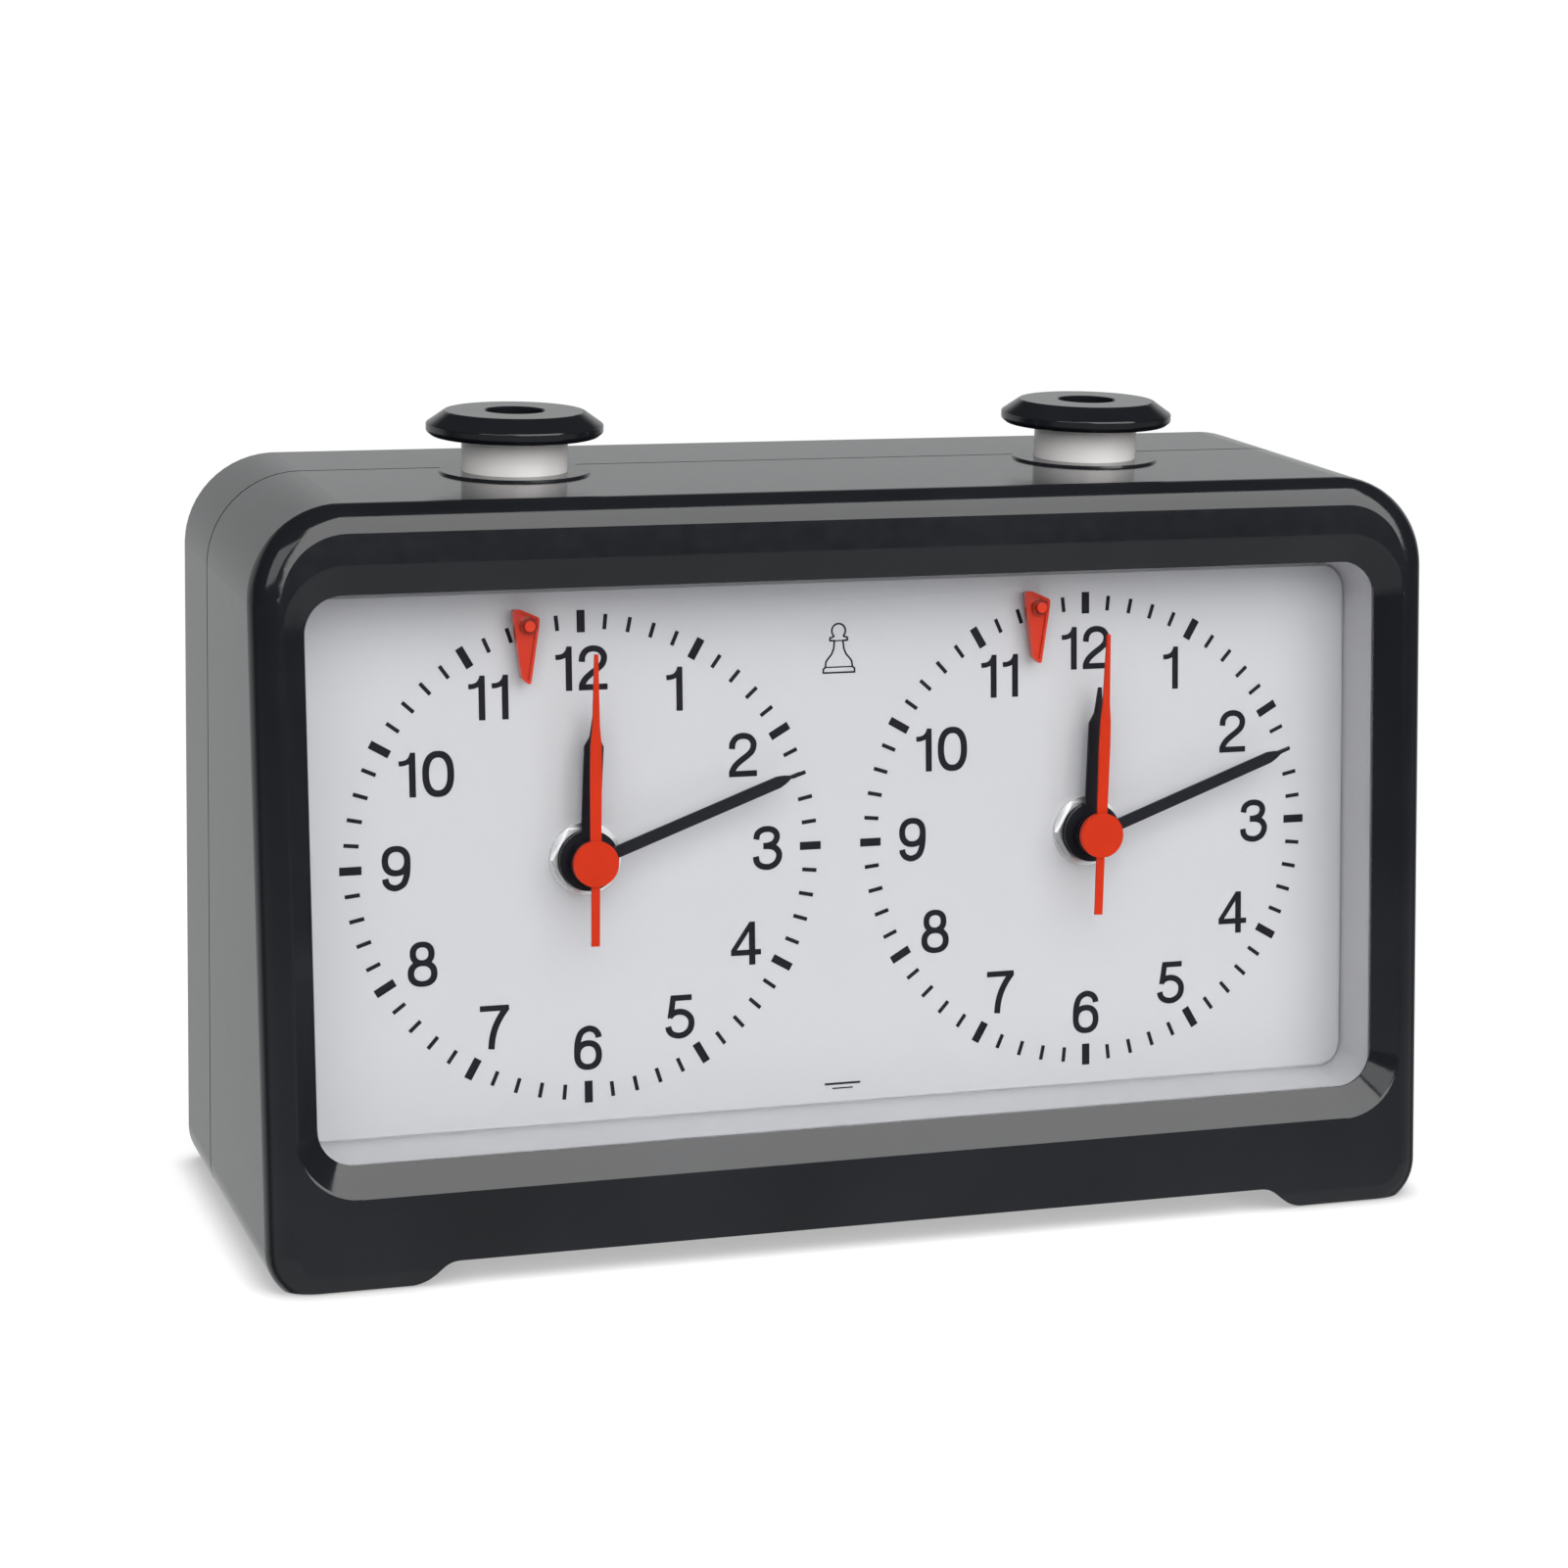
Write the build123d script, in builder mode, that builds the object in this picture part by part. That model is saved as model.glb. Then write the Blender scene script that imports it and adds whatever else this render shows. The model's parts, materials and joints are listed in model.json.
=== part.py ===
from build123d import *
import os
from math import sin, cos, tan, pi, radians, degrees, atan2, hypot

# Analogue quartz chess clock.
# Millimetres.  +Z up, X to the right seen from the front, the dials face -Y.
# The origin is on the table under the middle of the clock.

os.makedirs("parts", exist_ok=True)

# ---------------------------------------------------------------- dimensions
LEAN = 4.3            # the dials lean back by this many degrees
TOP_SLOPE = 5.94      # top of the case against the dial normal
BACK_SLOPE = 8.34     # back of the case against the dial plane
SEAM_SLOPE = 8.0      # parting plane of the two casings against the dial plane
HALF_W = 82.5         # half the width of the case
FRONT_H = 13.05       # front face in front of the dial surface
TOP_Z = 49.95          # top surface above the dial centres, at the dial surface
BACK_Y = 46.44        # back surface behind the dial surface, at dial centre height
SEAM_Y = 26.3        # parting plane, same reference
CENTRE_HEIGHT = 52.18 # dial centres above the table
ORIGIN_Y = -16.45     # dial surface from the middle of the depth
WALL = 2.5
TOP_CORNER_R = 12.5
LOW_CORNER_R = 7.0
BASE_CUT = 2.0         # the rounded block is cut off this far up, so the runners end in a crisp edge
RIM_R = 3.8           # rounding round the front face
BACK_EDGE_R = 1.4
FOOT_H = 3.0          # clearance under the middle of the case
INNER_FLOOR = 5.2     # floor of the inside above the table
FOOT_X_LOW, FOOT_X_HIGH = 63.6, 57.4
WIN_X, WIN_Z, WIN_R = 75.4, 37.15, 5.0       # window, half sizes
BEV_X, BEV_Z, BEV_R = 78.55, 41.0, 8.4       # outer edge of the window bevel
BEV_EDGE_R = 0.6
LIP_H = 10.0          # back of the window lip, in front of the dial
PITCH = 72.5          # distance between the two dial centres
BUTTON_X = 41.6       # button axes from the middle
BUTTON_Y = 13.4       # button axes behind the dial surface, at the top surface
TRAVEL = 3.0          # a button moves this far up and down from the middle
ROCK = degrees(TRAVEL / BUTTON_X)

MINUTE_ANGLE = 70.0
HOUR_ANGLE = 3.3
SECOND_ANGLE = {"left": 1.1, "right": 2.3}
SIDE_X = {"left": -PITCH / 2, "right": PITCH / 2}

# ---------------------------------------------------------------- frames
ca, sa = cos(radians(LEAN)), sin(radians(LEAN))


def at(x, zd, h):
    """Point from dial coordinates: x, height along the dial, distance in front of it."""
    yd = -h
    return (x, ORIGIN_Y + ca * yd + sa * zd, CENTRE_HEIGHT - sa * yd + ca * zd)


DIAL_N = (0, -ca, sa)


def dial(h=0.0, x=0.0, zd=0.0):
    """Plane parallel to the dials, h in front of them, looking out of the dial."""
    return Plane(origin=at(x, zd, h), x_dir=(1, 0, 0), z_dir=DIAL_N)


ts = radians(TOP_SLOPE - LEAN)
TOP_N = (0, -sin(ts), cos(ts))


def top_zd(yd):
    return TOP_Z + tan(radians(TOP_SLOPE)) * yd


def top(z=0.0, x=0.0):
    """Plane parallel to the top of the case through the button line, z above it."""
    o = at(x, top_zd(BUTTON_Y), -BUTTON_Y)
    return Plane(
        origin=(o[0], o[1] + z * TOP_N[1], o[2] + z * TOP_N[2]),
        x_dir=(1, 0, 0),
        z_dir=TOP_N,
    )


def up_plane(y, x=0.0, z=0.0):
    """Upright plane across the rocker, y behind the button line, looking to the back."""
    o = top(z, x).origin
    t = (0, cos(ts), sin(ts))
    return Plane(
        origin=(o.X, o.Y + y * t[1], o.Z + y * t[2]),
        x_dir=(-1, 0, 0),
        z_dir=t,
    )


def turn(points, deg, c=(0, 0)):
    """Points turned clockwise by deg about the origin, then moved to c."""
    a = -radians(deg)
    return [
        (c[0] + x * cos(a) - y * sin(a), c[1] + x * sin(a) + y * cos(a))
        for x, y in points
    ]


# ---------------------------------------------------------------- case outline
def line(yd, zd, slope_y, slope_z):
    return (yd, zd, slope_y, slope_z)


def cross(a, b):
    """Where two lines of the side view meet, in case coordinates (Y, Z)."""
    (p1, q1, u1, v1), (p2, q2, u2, v2) = a, b
    det = u1 * (-v2) + u2 * v1
    s = ((p2 - p1) * (-v2) + u2 * (q2 - q1)) / det
    return (p1 + s * u1, q1 + s * v1)


def side_view(front_in, top_in, back_in, floor):
    """Corners of the side view of the case, each face moved in by its own amount."""
    f = at(0, 0, FRONT_H - front_in)
    fr = line(f[1], f[2], sa, ca)
    st = radians(TOP_SLOPE - LEAN)
    t = at(0, TOP_Z, 0)
    tp = line(t[1] + top_in * sin(st), t[2] - top_in * cos(st), cos(st), sin(st))
    sb = radians(BACK_SLOPE - LEAN)
    b = at(0, 0, -BACK_Y)
    bk = line(b[1] - back_in * cos(sb), b[2] - back_in * sin(sb), -sin(sb), cos(sb))
    fl = line(0, floor, 1, 0)
    return [cross(fr, fl), cross(fr, tp), cross(tp, bk), cross(bk, fl)]


ss = radians(SEAM_SLOPE - LEAN)
seam_origin = at(0, 0, -SEAM_Y)
SEAM = Plane(
    origin=seam_origin, x_dir=(1, 0, 0), z_dir=(0, cos(ss), sin(ss))
)  # its normal points to the back

outline = side_view(0, 0, 0, 0)
print("side view", [(round(a, 2), round(b, 2)) for a, b in outline])


def shell_block(corners, half_w, r_top, r_low):
    with BuildPart() as blk:
        with BuildSketch(Plane.YZ):
            with BuildLine():
                Polyline(*corners, close=True)
            make_face()
        extrude(amount=half_w, both=True)
        lo = min(c[1] for c in corners)
        sides = blk.edges().filter_by(lambda e: abs(abs(e.center().X) - half_w) < 0.01)
        tops = [
            e
            for e in sides
            if e.center().Z > corners[1][1] - 0.5 and e.tangent_at(0.5).Y ** 2 > 0.8
        ]
        lows = [
            e
            for e in sides
            if abs(e.center().Z - lo) < 0.5 and e.tangent_at(0.5).Y ** 2 > 0.8
        ]
        fillet(tops, r_top)
        fillet(lows, r_low)
    return blk.part


with BuildPart() as outer:
    add(shell_block(side_view(0, 0, 0, -BASE_CUT), HALF_W, TOP_CORNER_R, LOW_CORNER_R))
    fillet(outer.faces().sort_by(Axis.Y)[0].edges(), RIM_R)
    fillet(outer.faces().sort_by(Axis.Y)[-1].edges(), BACK_EDGE_R)
    with BuildSketch(Plane.XY):
        Rectangle(300, 300)
    extrude(amount=-20, mode=Mode.SUBTRACT)
    # the underside is raised between the two runners it stands on
    with BuildSketch(Plane.XZ.offset(-90)):
        with BuildLine():
            Polyline((-FOOT_X_LOW, 0), (-FOOT_X_LOW, -1), (FOOT_X_LOW, -1), (FOOT_X_LOW, 0))
            Line((-FOOT_X_HIGH, FOOT_H), (FOOT_X_HIGH, FOOT_H))
            for s in (-1, 1):
                Spline(
                    (s * FOOT_X_LOW, 0),
                    (s * (FOOT_X_LOW + FOOT_X_HIGH) / 2, FOOT_H / 2),
                    (s * FOOT_X_HIGH, FOOT_H),
                    tangents=[(-s, 0.15), (-s, 0)],
                )
        make_face()
    extrude(amount=180, mode=Mode.SUBTRACT)

cavity = shell_block(
    side_view(FRONT_H - LIP_H, WALL, WALL, INNER_FLOOR),
    HALF_W - WALL,
    TOP_CORNER_R - WALL,
    2.5,
)

# shallow groove where the two casings meet
with BuildPart() as groove:
    with BuildSketch(SEAM.offset(-0.22)):
        Rectangle(200, 160)
    extrude(amount=0.44)
    add(
        shell_block(
            side_view(0.3, 0.3, 0.3, 0.3 - BASE_CUT), HALF_W - 0.3, TOP_CORNER_R - 0.3, LOW_CORNER_R - 0.3
        ),
        mode=Mode.SUBTRACT,
    )

BOSSES = [(-72.0, 43.0), (72.0, 43.0), (-72.0, -44.3), (72.0, -44.3)]
TRAY_PADS = [(-52.0, 42.4), (0.0, 42.4), (52.0, 42.4), (-52.0, -42.4), (0.0, -42.4), (52.0, -42.4)]
COLLAR_R = 8.3
STEM_R, BORE_R = 7.2, 7.26

# ---------------------------------------------------------------- front casing
with BuildPart() as front_casing:
    add(outer.part)
    add(cavity, mode=Mode.SUBTRACT)
    # window with its bevel
    with BuildSketch(dial(LIP_H + 0.4)):
        RectangleRounded(2 * WIN_X, 2 * WIN_Z, WIN_R)
    with BuildSketch(dial(FRONT_H)):
        RectangleRounded(2 * BEV_X, 2 * BEV_Z, BEV_R)
    loft(ruled=True, mode=Mode.SUBTRACT)
    with BuildSketch(dial(LIP_H - 1)):
        RectangleRounded(2 * WIN_X, 2 * WIN_Z, WIN_R)
    extrude(amount=1.4, mode=Mode.SUBTRACT)
    with BuildSketch(dial(FRONT_H)):
        RectangleRounded(2 * BEV_X, 2 * BEV_Z, BEV_R)
    extrude(amount=3, mode=Mode.SUBTRACT)
    # the bevel meets the front face in a small rounding
    fillet(
        front_casing.edges().filter_by(
            lambda e: abs(
                (e.center() - Vector(*at(0, 0, FRONT_H))).dot(Vector(*DIAL_N))
            ) < 0.01
            and abs(e.center().X) < BEV_X + 0.1
            and abs((e.center() - Vector(*at(0, 0, FRONT_H))).dot(Vector(0, sa, ca))) < BEV_Z + 0.1
        ),
        BEV_EDGE_R,
    )
    # screw bosses, from the front wall to the parting plane
    with BuildSketch(dial(LIP_H)):
        with Locations(*BOSSES):
            Circle(3.2)
    extrude(amount=-60)
    with BuildSketch(dial(LIP_H)):
        with Locations(*TRAY_PADS):
            Circle(2.4)
    extrude(amount=-1.9)
    with BuildSketch(dial(LIP_H - 1.9)):
        with Locations(*TRAY_PADS):
            Circle(1.1)
    extrude(amount=3.4, mode=Mode.SUBTRACT)
    with BuildSketch(dial(-SEAM_Y + 16)):
        with Locations(*BOSSES):
            Circle(1.45)
    extrude(amount=-60, mode=Mode.SUBTRACT)
    # holes for the button collars
    for s in (-1, 1):
        with BuildSketch(top(-6, s * BUTTON_X)):
            Circle(COLLAR_R)
        extrude(amount=12, mode=Mode.SUBTRACT)
    add(groove.part, mode=Mode.SUBTRACT)
    split(bisect_by=SEAM, keep=Keep.BOTTOM)
front_casing.part.label = "front_casing"
export_step(front_casing.part, "parts/front_casing.step")

# ---------------------------------------------------------------- rear cover
KNOB_ZD = 12.0
DOOR_W, DOOR_HT, DOOR_ZD = 134.0, 24.0, -20.0
sb = radians(BACK_SLOPE - LEAN)


def back(depth, x=0.0, zd=0.0):
    """Plane parallel to the back of the case, depth inside it, looking to the back."""
    yd = BACK_Y - tan(radians(BACK_SLOPE)) * zd
    o = at(x, zd, -yd)
    n = (0, cos(sb), sin(sb))
    return Plane(
        origin=(o[0], o[1] - depth * n[1], o[2] - depth * n[2]), x_dir=(-1, 0, 0), z_dir=n
    )


with BuildPart() as cover_tubes:
    with BuildSketch(dial(-SEAM_Y + 12)):
        with Locations(*BOSSES):
            Circle(4.0)
    extrude(amount=-60)
    add(outer.part, mode=Mode.INTERSECT)

with BuildPart() as rear_cover:
    add(outer.part)
    add(cavity, mode=Mode.SUBTRACT)
    add(cover_tubes.part)
    with BuildSketch(dial(0)):
        with Locations(*BOSSES):
            Circle(1.7)
    extrude(amount=-80, mode=Mode.SUBTRACT)
    for bx, bz in BOSSES:
        seam_yd = SEAM_Y - tan(radians(SEAM_SLOPE)) * bz
        with BuildSketch(dial(-seam_yd - 5.0, bx, bz)):
            Circle(3.2)
        extrude(amount=-60, mode=Mode.SUBTRACT)
    # wells for the setting knobs
    for cx in SIDE_X.values():
        with BuildSketch(dial(-36, cx, KNOB_ZD)):
            Circle(7.6)
        extrude(amount=-20, mode=Mode.SUBTRACT)
    # battery door opening with a ledge behind it
    with BuildSketch(back(-1, 0, DOOR_ZD)):
        RectangleRounded(DOOR_W, DOOR_HT, 3)
    extrude(amount=-2.4, mode=Mode.SUBTRACT)
    with BuildSketch(back(-1, 0, DOOR_ZD)):
        RectangleRounded(DOOR_W - 5, DOOR_HT - 5, 2)
    extrude(amount=-6, mode=Mode.SUBTRACT)
    # slots for the door's tongues
    for s in (-1, 1):
        with BuildSketch(back(1.4, s * 30, DOOR_ZD)):
            with Locations((0, -DOOR_HT / 2 + 1.35)):
                Rectangle(10, 2.6)
        extrude(amount=-4, mode=Mode.SUBTRACT)
    for s in (-1, 1):
        with BuildSketch(top(-6, s * BUTTON_X)):
            Circle(COLLAR_R)
        extrude(amount=12, mode=Mode.SUBTRACT)
    add(groove.part, mode=Mode.SUBTRACT)
    split(bisect_by=SEAM, keep=Keep.TOP)
rear_cover.part.label = "rear_cover"
export_step(rear_cover.part, "parts/rear_cover.step")

with BuildPart() as battery_door:
    with BuildSketch(back(1.4, 0, DOOR_ZD)):
        RectangleRounded(DOOR_W - 0.6, DOOR_HT - 0.6, 2.7)
    extrude(amount=1.4)
    # shallow finger dish with three grip ribs
    with BuildSketch(back(0, 0, DOOR_ZD)):
        with Locations((0, 5.5)):
            RectangleRounded(26, 9, 3)
    extrude(amount=-0.7, mode=Mode.SUBTRACT)
    with BuildSketch(back(0.7, 0, DOOR_ZD)):
        with Locations((0, 3.2), (0, 5.5), (0, 7.8)):
            SlotOverall(20, 1.0)
    extrude(amount=0.6)
    for s in (-1, 1):
        with BuildSketch(back(3.6, s * 30, DOOR_ZD)):
            with Locations((0, -DOOR_HT / 2 + 1.6)):
                Rectangle(9, 1.4)
        extrude(amount=2.4)
        with BuildSketch(back(3.7, s * 30, DOOR_ZD)):
            with Locations((0, -DOOR_HT / 2 + 0.6)):
                Rectangle(9, 3.4)
        extrude(amount=0.9)
battery_door.part.label = "battery_door"
export_step(battery_door.part, "parts/battery_door.step")

with BuildPart() as case_screws:
    for bx, bz in BOSSES:
        seam_yd = SEAM_Y - tan(radians(SEAM_SLOPE)) * bz
        with BuildSketch(dial(-seam_yd - 5.0, bx, bz)):
            Circle(2.8)
        extrude(amount=-2.2)
        with BuildSketch(dial(-seam_yd - 5.0, bx, bz)):
            Circle(1.4)
        extrude(amount=14.0)
        with BuildSketch(dial(-seam_yd - 7.2, bx, bz)):
            Rectangle(3.4, 0.8)
            Rectangle(0.8, 3.4)
        extrude(amount=1.2, mode=Mode.SUBTRACT)
case_screws.part.label = "case_screws"
export_step(case_screws.part, "parts/case_screws.step")

# ---------------------------------------------------------------- tray, dial, window
TRAY_X, TRAY_Z0, TRAY_Z1 = 75.9, 36.35, 37.35
FLAG_PIVOT = (-7.75, 31.7)
with BuildPart() as dial_tray:
    with BuildSketch(dial(-2.5)):
        RectangleRounded(2 * (TRAY_X + 1.8), 2 * (TRAY_Z1 + 1.8), 5.5)
    extrude(amount=LIP_H + 2.5)
    with BuildSketch(dial(-0.5)):
        RectangleRounded(2 * TRAY_X, 2 * TRAY_Z0, 3.6)
    with BuildSketch(dial(8.6)):
        RectangleRounded(2 * TRAY_X, 2 * TRAY_Z1, 4.4)
    loft(ruled=True, mode=Mode.SUBTRACT)
    with BuildSketch(dial(8.6)):
        RectangleRounded(2 * (TRAY_X + 0.5), 2 * (TRAY_Z1 + 0.5), 4.9)
    extrude(amount=5, mode=Mode.SUBTRACT)
    # fixing ears, top and bottom
    with BuildSketch(dial(6.1)):
        for ex, ez in TRAY_PADS:
            sgn = 1 if ez > 0 else -1
            with Locations((ex, sgn * (TRAY_Z1 + 1.0 + 3.5))):
                RectangleRounded(9, 7, 1.5)
    extrude(amount=2.0)
    with BuildSketch(dial(0)):
        with Locations(*TRAY_PADS):
            Circle(1.5)
    extrude(amount=12, mode=Mode.SUBTRACT)
    for cx in SIDE_X.values():
        with BuildSketch(dial(-6, cx)):
            Circle(4.2)
            with Locations(FLAG_PIVOT):
                Circle(0.46)
        extrude(amount=8, mode=Mode.SUBTRACT)
dial_tray.part.label = "dial_tray"
export_step(dial_tray.part, "parts/dial_tray.step")

with BuildPart() as dial_plate:
    with BuildSketch(dial(-0.5)):
        RectangleRounded(2 * TRAY_X - 0.8, 2 * TRAY_Z0 - 0.8, 3.2)
    extrude(amount=0.5)
    for cx in SIDE_X.values():
        with BuildSketch(dial(-1, cx)):
            Circle(4.2)
            with Locations(FLAG_PIVOT):
                Circle(0.46)
        extrude(amount=2, mode=Mode.SUBTRACT)
dial_plate.part.label = "dial_plate"
export_step(dial_plate.part, "parts/dial_plate.step")

with BuildPart() as window_lens:
    with BuildSketch(dial(8.6)):
        RectangleRounded(2 * TRAY_X + 0.8, 2 * TRAY_Z1 + 0.8, 4.8)
    extrude(amount=1.4)
window_lens.part.label = "window_lens"
export_step(window_lens.part, "parts/window_lens.step")

with BuildPart() as tray_screws:
    with BuildSketch(dial(6.1)):
        with Locations(*TRAY_PADS):
            Circle(2.2)
    extrude(amount=-1.4)
    with BuildSketch(dial(6.1)):
        with Locations(*TRAY_PADS):
            Circle(1.05)
    extrude(amount=5.2)
    with BuildSketch(dial(4.7)):
        for px, pz in TRAY_PADS:
            with Locations((px, pz)):
                Rectangle(2.8, 0.6)
                Rectangle(0.6, 2.8)
    extrude(amount=0.8, mode=Mode.SUBTRACT)
tray_screws.part.label = "tray_screws"
export_step(tray_screws.part, "parts/tray_screws.step")

# ---------------------------------------------------------------- flags
FLAG = [(-9.9, 33.95), (-8.9, 33.95), (-6.2, 32.75), (-6.3, 31.7), (-7.6, 23.7), (-8.8, 24.8)]
FLAG_ROUND = [0.45, 0.7, 0.5, 0.6, 0.28, 0.35]
for side, cx in SIDE_X.items():
    with BuildPart() as flag:
        with BuildSketch(dial(1.3, cx)) as flag_face:
            with BuildLine():
                Polyline(*FLAG, close=True)
            make_face()
            for (fx, fz), r in zip(FLAG, FLAG_ROUND):
                fillet(min(flag_face.vertices(), key=lambda v: (v.X - fx) ** 2 + (v.Y - fz) ** 2), r)
        extrude(amount=1.2)
        # the face is sunk a little inside a raised rim
        with BuildSketch(dial(2.2, cx)) as flag_sunk:
            with BuildLine():
                Polyline(*FLAG, close=True)
            make_face()
            for (fx, fz), r in zip(FLAG, FLAG_ROUND):
                fillet(min(flag_sunk.vertices(), key=lambda v: (v.X - fx) ** 2 + (v.Y - fz) ** 2), r)
            offset(amount=-0.38, mode=Mode.REPLACE)
        extrude(amount=0.5, mode=Mode.SUBTRACT)
        with BuildSketch(dial(1.3, cx)):
            with Locations(FLAG_PIVOT):
                Circle(1.15)
        extrude(amount=1.5)
        with BuildSketch(dial(0, cx)):
            with Locations(FLAG_PIVOT):
                Circle(0.50)
        extrude(amount=4, mode=Mode.SUBTRACT)
    flag.part.label = "flag_" + side
    export_step(flag.part, "parts/flag_" + side + ".step")

with BuildPart() as flag_pins:
    for cx in SIDE_X.values():
        with BuildSketch(dial(-2.5, cx)):
            with Locations(FLAG_PIVOT):
                Circle(0.45)
        extrude(amount=5.6)
        with BuildSketch(dial(0.0, cx)):
            with Locations(FLAG_PIVOT):
                Circle(1.1)
        extrude(amount=1.1)
        with BuildSketch(dial(3.0, cx)):
            with Locations(FLAG_PIVOT):
                Circle(0.72)
        extrude(amount=0.35)
flag_pins.part.label = "flag_pins"
export_step(flag_pins.part, "parts/flag_pins.step")

# ---------------------------------------------------------------- buttons
CAP_Z = 5.05           # underside of a cap above the top of the case
for side, s in (("left", -1), ("right", 1)):
    bx = s * BUTTON_X
    with BuildPart() as button_cap:
        with BuildSketch(
            Plane(origin=top(0, bx).origin, x_dir=(1, 0, 0), z_dir=(0, -cos(ts), -sin(ts)))
        ) as cap_face:
            with BuildLine():
                Polyline(
                    (0, CAP_Z + 0.6),
                    (STEM_R + 0.4, CAP_Z + 0.6),
                    (STEM_R + 0.4, CAP_Z),
                    (11.3, CAP_Z),
                    (12.0, CAP_Z + 0.6),
                    (12.0, CAP_Z + 1.6),
                    (9.5, CAP_Z + 3.35),
                    (4.2, CAP_Z + 3.35),
                    (4.0, CAP_Z + 3.15),
                    (4.0, CAP_Z + 1.2),
                    (0, CAP_Z + 1.2),
                    close=True,
                )
            make_face()
            for vx, vz, r in ((11.3, 0, 0.5), (12.0, 0.6, 0.4), (12.0, 1.6, 0.35), (9.5, 3.35, 0.6)):
                fillet(
                    min(
                        cap_face.vertices(),
                        key=lambda v: (v.X - vx) ** 2 + (v.Y - CAP_Z - vz) ** 2,
                    ),
                    r,
                )
        revolve(axis=Axis(top(0, bx).origin, TOP_N))
    button_cap.part.label = "button_cap_" + side
    export_step(button_cap.part, "parts/button_cap_" + side + ".step")

    with BuildPart() as button_stem:
        with BuildSketch(top(-9.0, bx)):
            Circle(STEM_R)
        extrude(amount=9.0 + CAP_Z + 0.6)
        with BuildSketch(top(-6.0, bx)):
            Circle(STEM_R - 1.6)
        extrude(amount=6.0 + CAP_Z - 1.2, mode=Mode.SUBTRACT)
        # tongue with a cross slot for the rocker's pin
        with BuildSketch(up_plane(-1.5, bx)):
            with Locations((0, -13.4)):
                Rectangle(9, 11.2)
        extrude(amount=3.0)
        with BuildSketch(up_plane(-3, bx)):
            with Locations((0, -16.0)):
                SlotOverall(5.0, 3.12)
        extrude(amount=6, mode=Mode.SUBTRACT)
    button_stem.part.label = "button_stem_" + side
    export_step(button_stem.part, "parts/button_stem_" + side + ".step")

with BuildPart() as button_collars:
    for s in (-1, 1):
        with BuildSketch(top(-7.0, s * BUTTON_X)):
            Circle(COLLAR_R - 0.05)
        extrude(amount=7.0)
        with BuildSketch(top(0.0, s * BUTTON_X)):
            Circle(10.4)
        extrude(amount=0.3, taper=40)
        with BuildSketch(top(-8.0, s * BUTTON_X)):
            Circle(BORE_R)
        extrude(amount=12, mode=Mode.SUBTRACT)
button_collars.part.label = "button_collars"
export_step(button_collars.part, "parts/button_collars.step")

# ---------------------------------------------------------------- rocker
# The rocker tilts on a pin that runs front to back, 16 mm under the top.
PIV_Z = -16.0
ROCK_Y = 2.1          # front face of the rocker bar behind the button line
with BuildPart() as rocker:
    with BuildSketch(up_plane(ROCK_Y)):
        with BuildLine():
            Polyline(
                (-44.6, PIV_Z - 2.2), (-12, PIV_Z - 4.0), (12, PIV_Z - 4.0), (44.6, PIV_Z - 2.2),
                (44.6, PIV_Z + 2.2), (12, PIV_Z + 4.0), (-12, PIV_Z + 4.0), (-44.6, PIV_Z + 2.2),
                close=True,
            )
        make_face()
    extrude(amount=2.4)
    with BuildSketch(up_plane(ROCK_Y)):
        with Locations((0, PIV_Z)):
            Circle(5.0)
    extrude(amount=5.0)
    # pins that ride in the slots of the two stems
    with BuildSketch(up_plane(ROCK_Y - 4.4)):
        with Locations((-BUTTON_X, PIV_Z), (BUTTON_X, PIV_Z)):
            Circle(1.5)
    extrude(amount=5.0)
    with BuildSketch(up_plane(ROCK_Y - 1)):
        with Locations((0, PIV_Z)):
            Circle(2.06)
        with Locations((-26, PIV_Z), (26, PIV_Z)):
            SlotOverall(14, 3.0)
    extrude(amount=8, mode=Mode.SUBTRACT)
rocker.part.label = "rocker"
export_step(rocker.part, "parts/rocker.step")

with BuildPart() as rocker_pin:
    with BuildSketch(up_plane(-12.0)):
        with Locations((0, PIV_Z)):
            Circle(2.0)
    extrude(amount=12.0 + ROCK_Y + 5.4)
    with BuildSketch(up_plane(ROCK_Y + 5.4)):
        with Locations((0, PIV_Z)):
            Circle(3.4)
    extrude(amount=0.9)
rocker_pin.part.label = "rocker_pin"
export_step(rocker_pin.part, "parts/rocker_pin.step")

with BuildPart() as rocker_bracket:
    # foot against the back of the tray, arm to the rocker pin
    with BuildSketch(dial(-2.5)):
        with Locations((0, 29.5)):
            RectangleRounded(13, 17, 1.5)
    extrude(amount=-3.0)
    with BuildSketch(dial(-5.5)):
        with Locations((0, 35.6)):
            RectangleRounded(9.6, 9.6, 1.5)
    extrude(amount=-10.4)
    with BuildSketch(up_plane(-12.5)):
        with Locations((0, PIV_Z)):
            Circle(2.0)
    extrude(amount=30, mode=Mode.SUBTRACT)
    with BuildSketch(dial(-6)):
        with Locations((0, 24.0)):
            Circle(1.2)
    extrude(amount=4, mode=Mode.SUBTRACT)
rocker_bracket.part.label = "rocker_bracket"
export_step(rocker_bracket.part, "parts/rocker_bracket.step")

# leaf contacts: the low side of the rocker opens the contact of its movement
with BuildPart() as switch_contacts:
    for s in (-1, 1):
        with BuildSketch(up_plane(ROCK_Y)):
            with BuildLine():
                Polyline(
                    (s * 20.0, PIV_Z - 5.9), (s * 38.0, PIV_Z - 6.5), (s * 38.0, PIV_Z - 6.8),
                    (s * 20.3, PIV_Z - 6.2), (s * 20.3, PIV_Z - 7.95), (s * 20.0, PIV_Z - 7.95),
                    close=True,
                )
            make_face()
        extrude(amount=2.4)
switch_contacts.part.label = "switch_contacts"
export_step(switch_contacts.part, "parts/switch_contacts.step")


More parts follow.
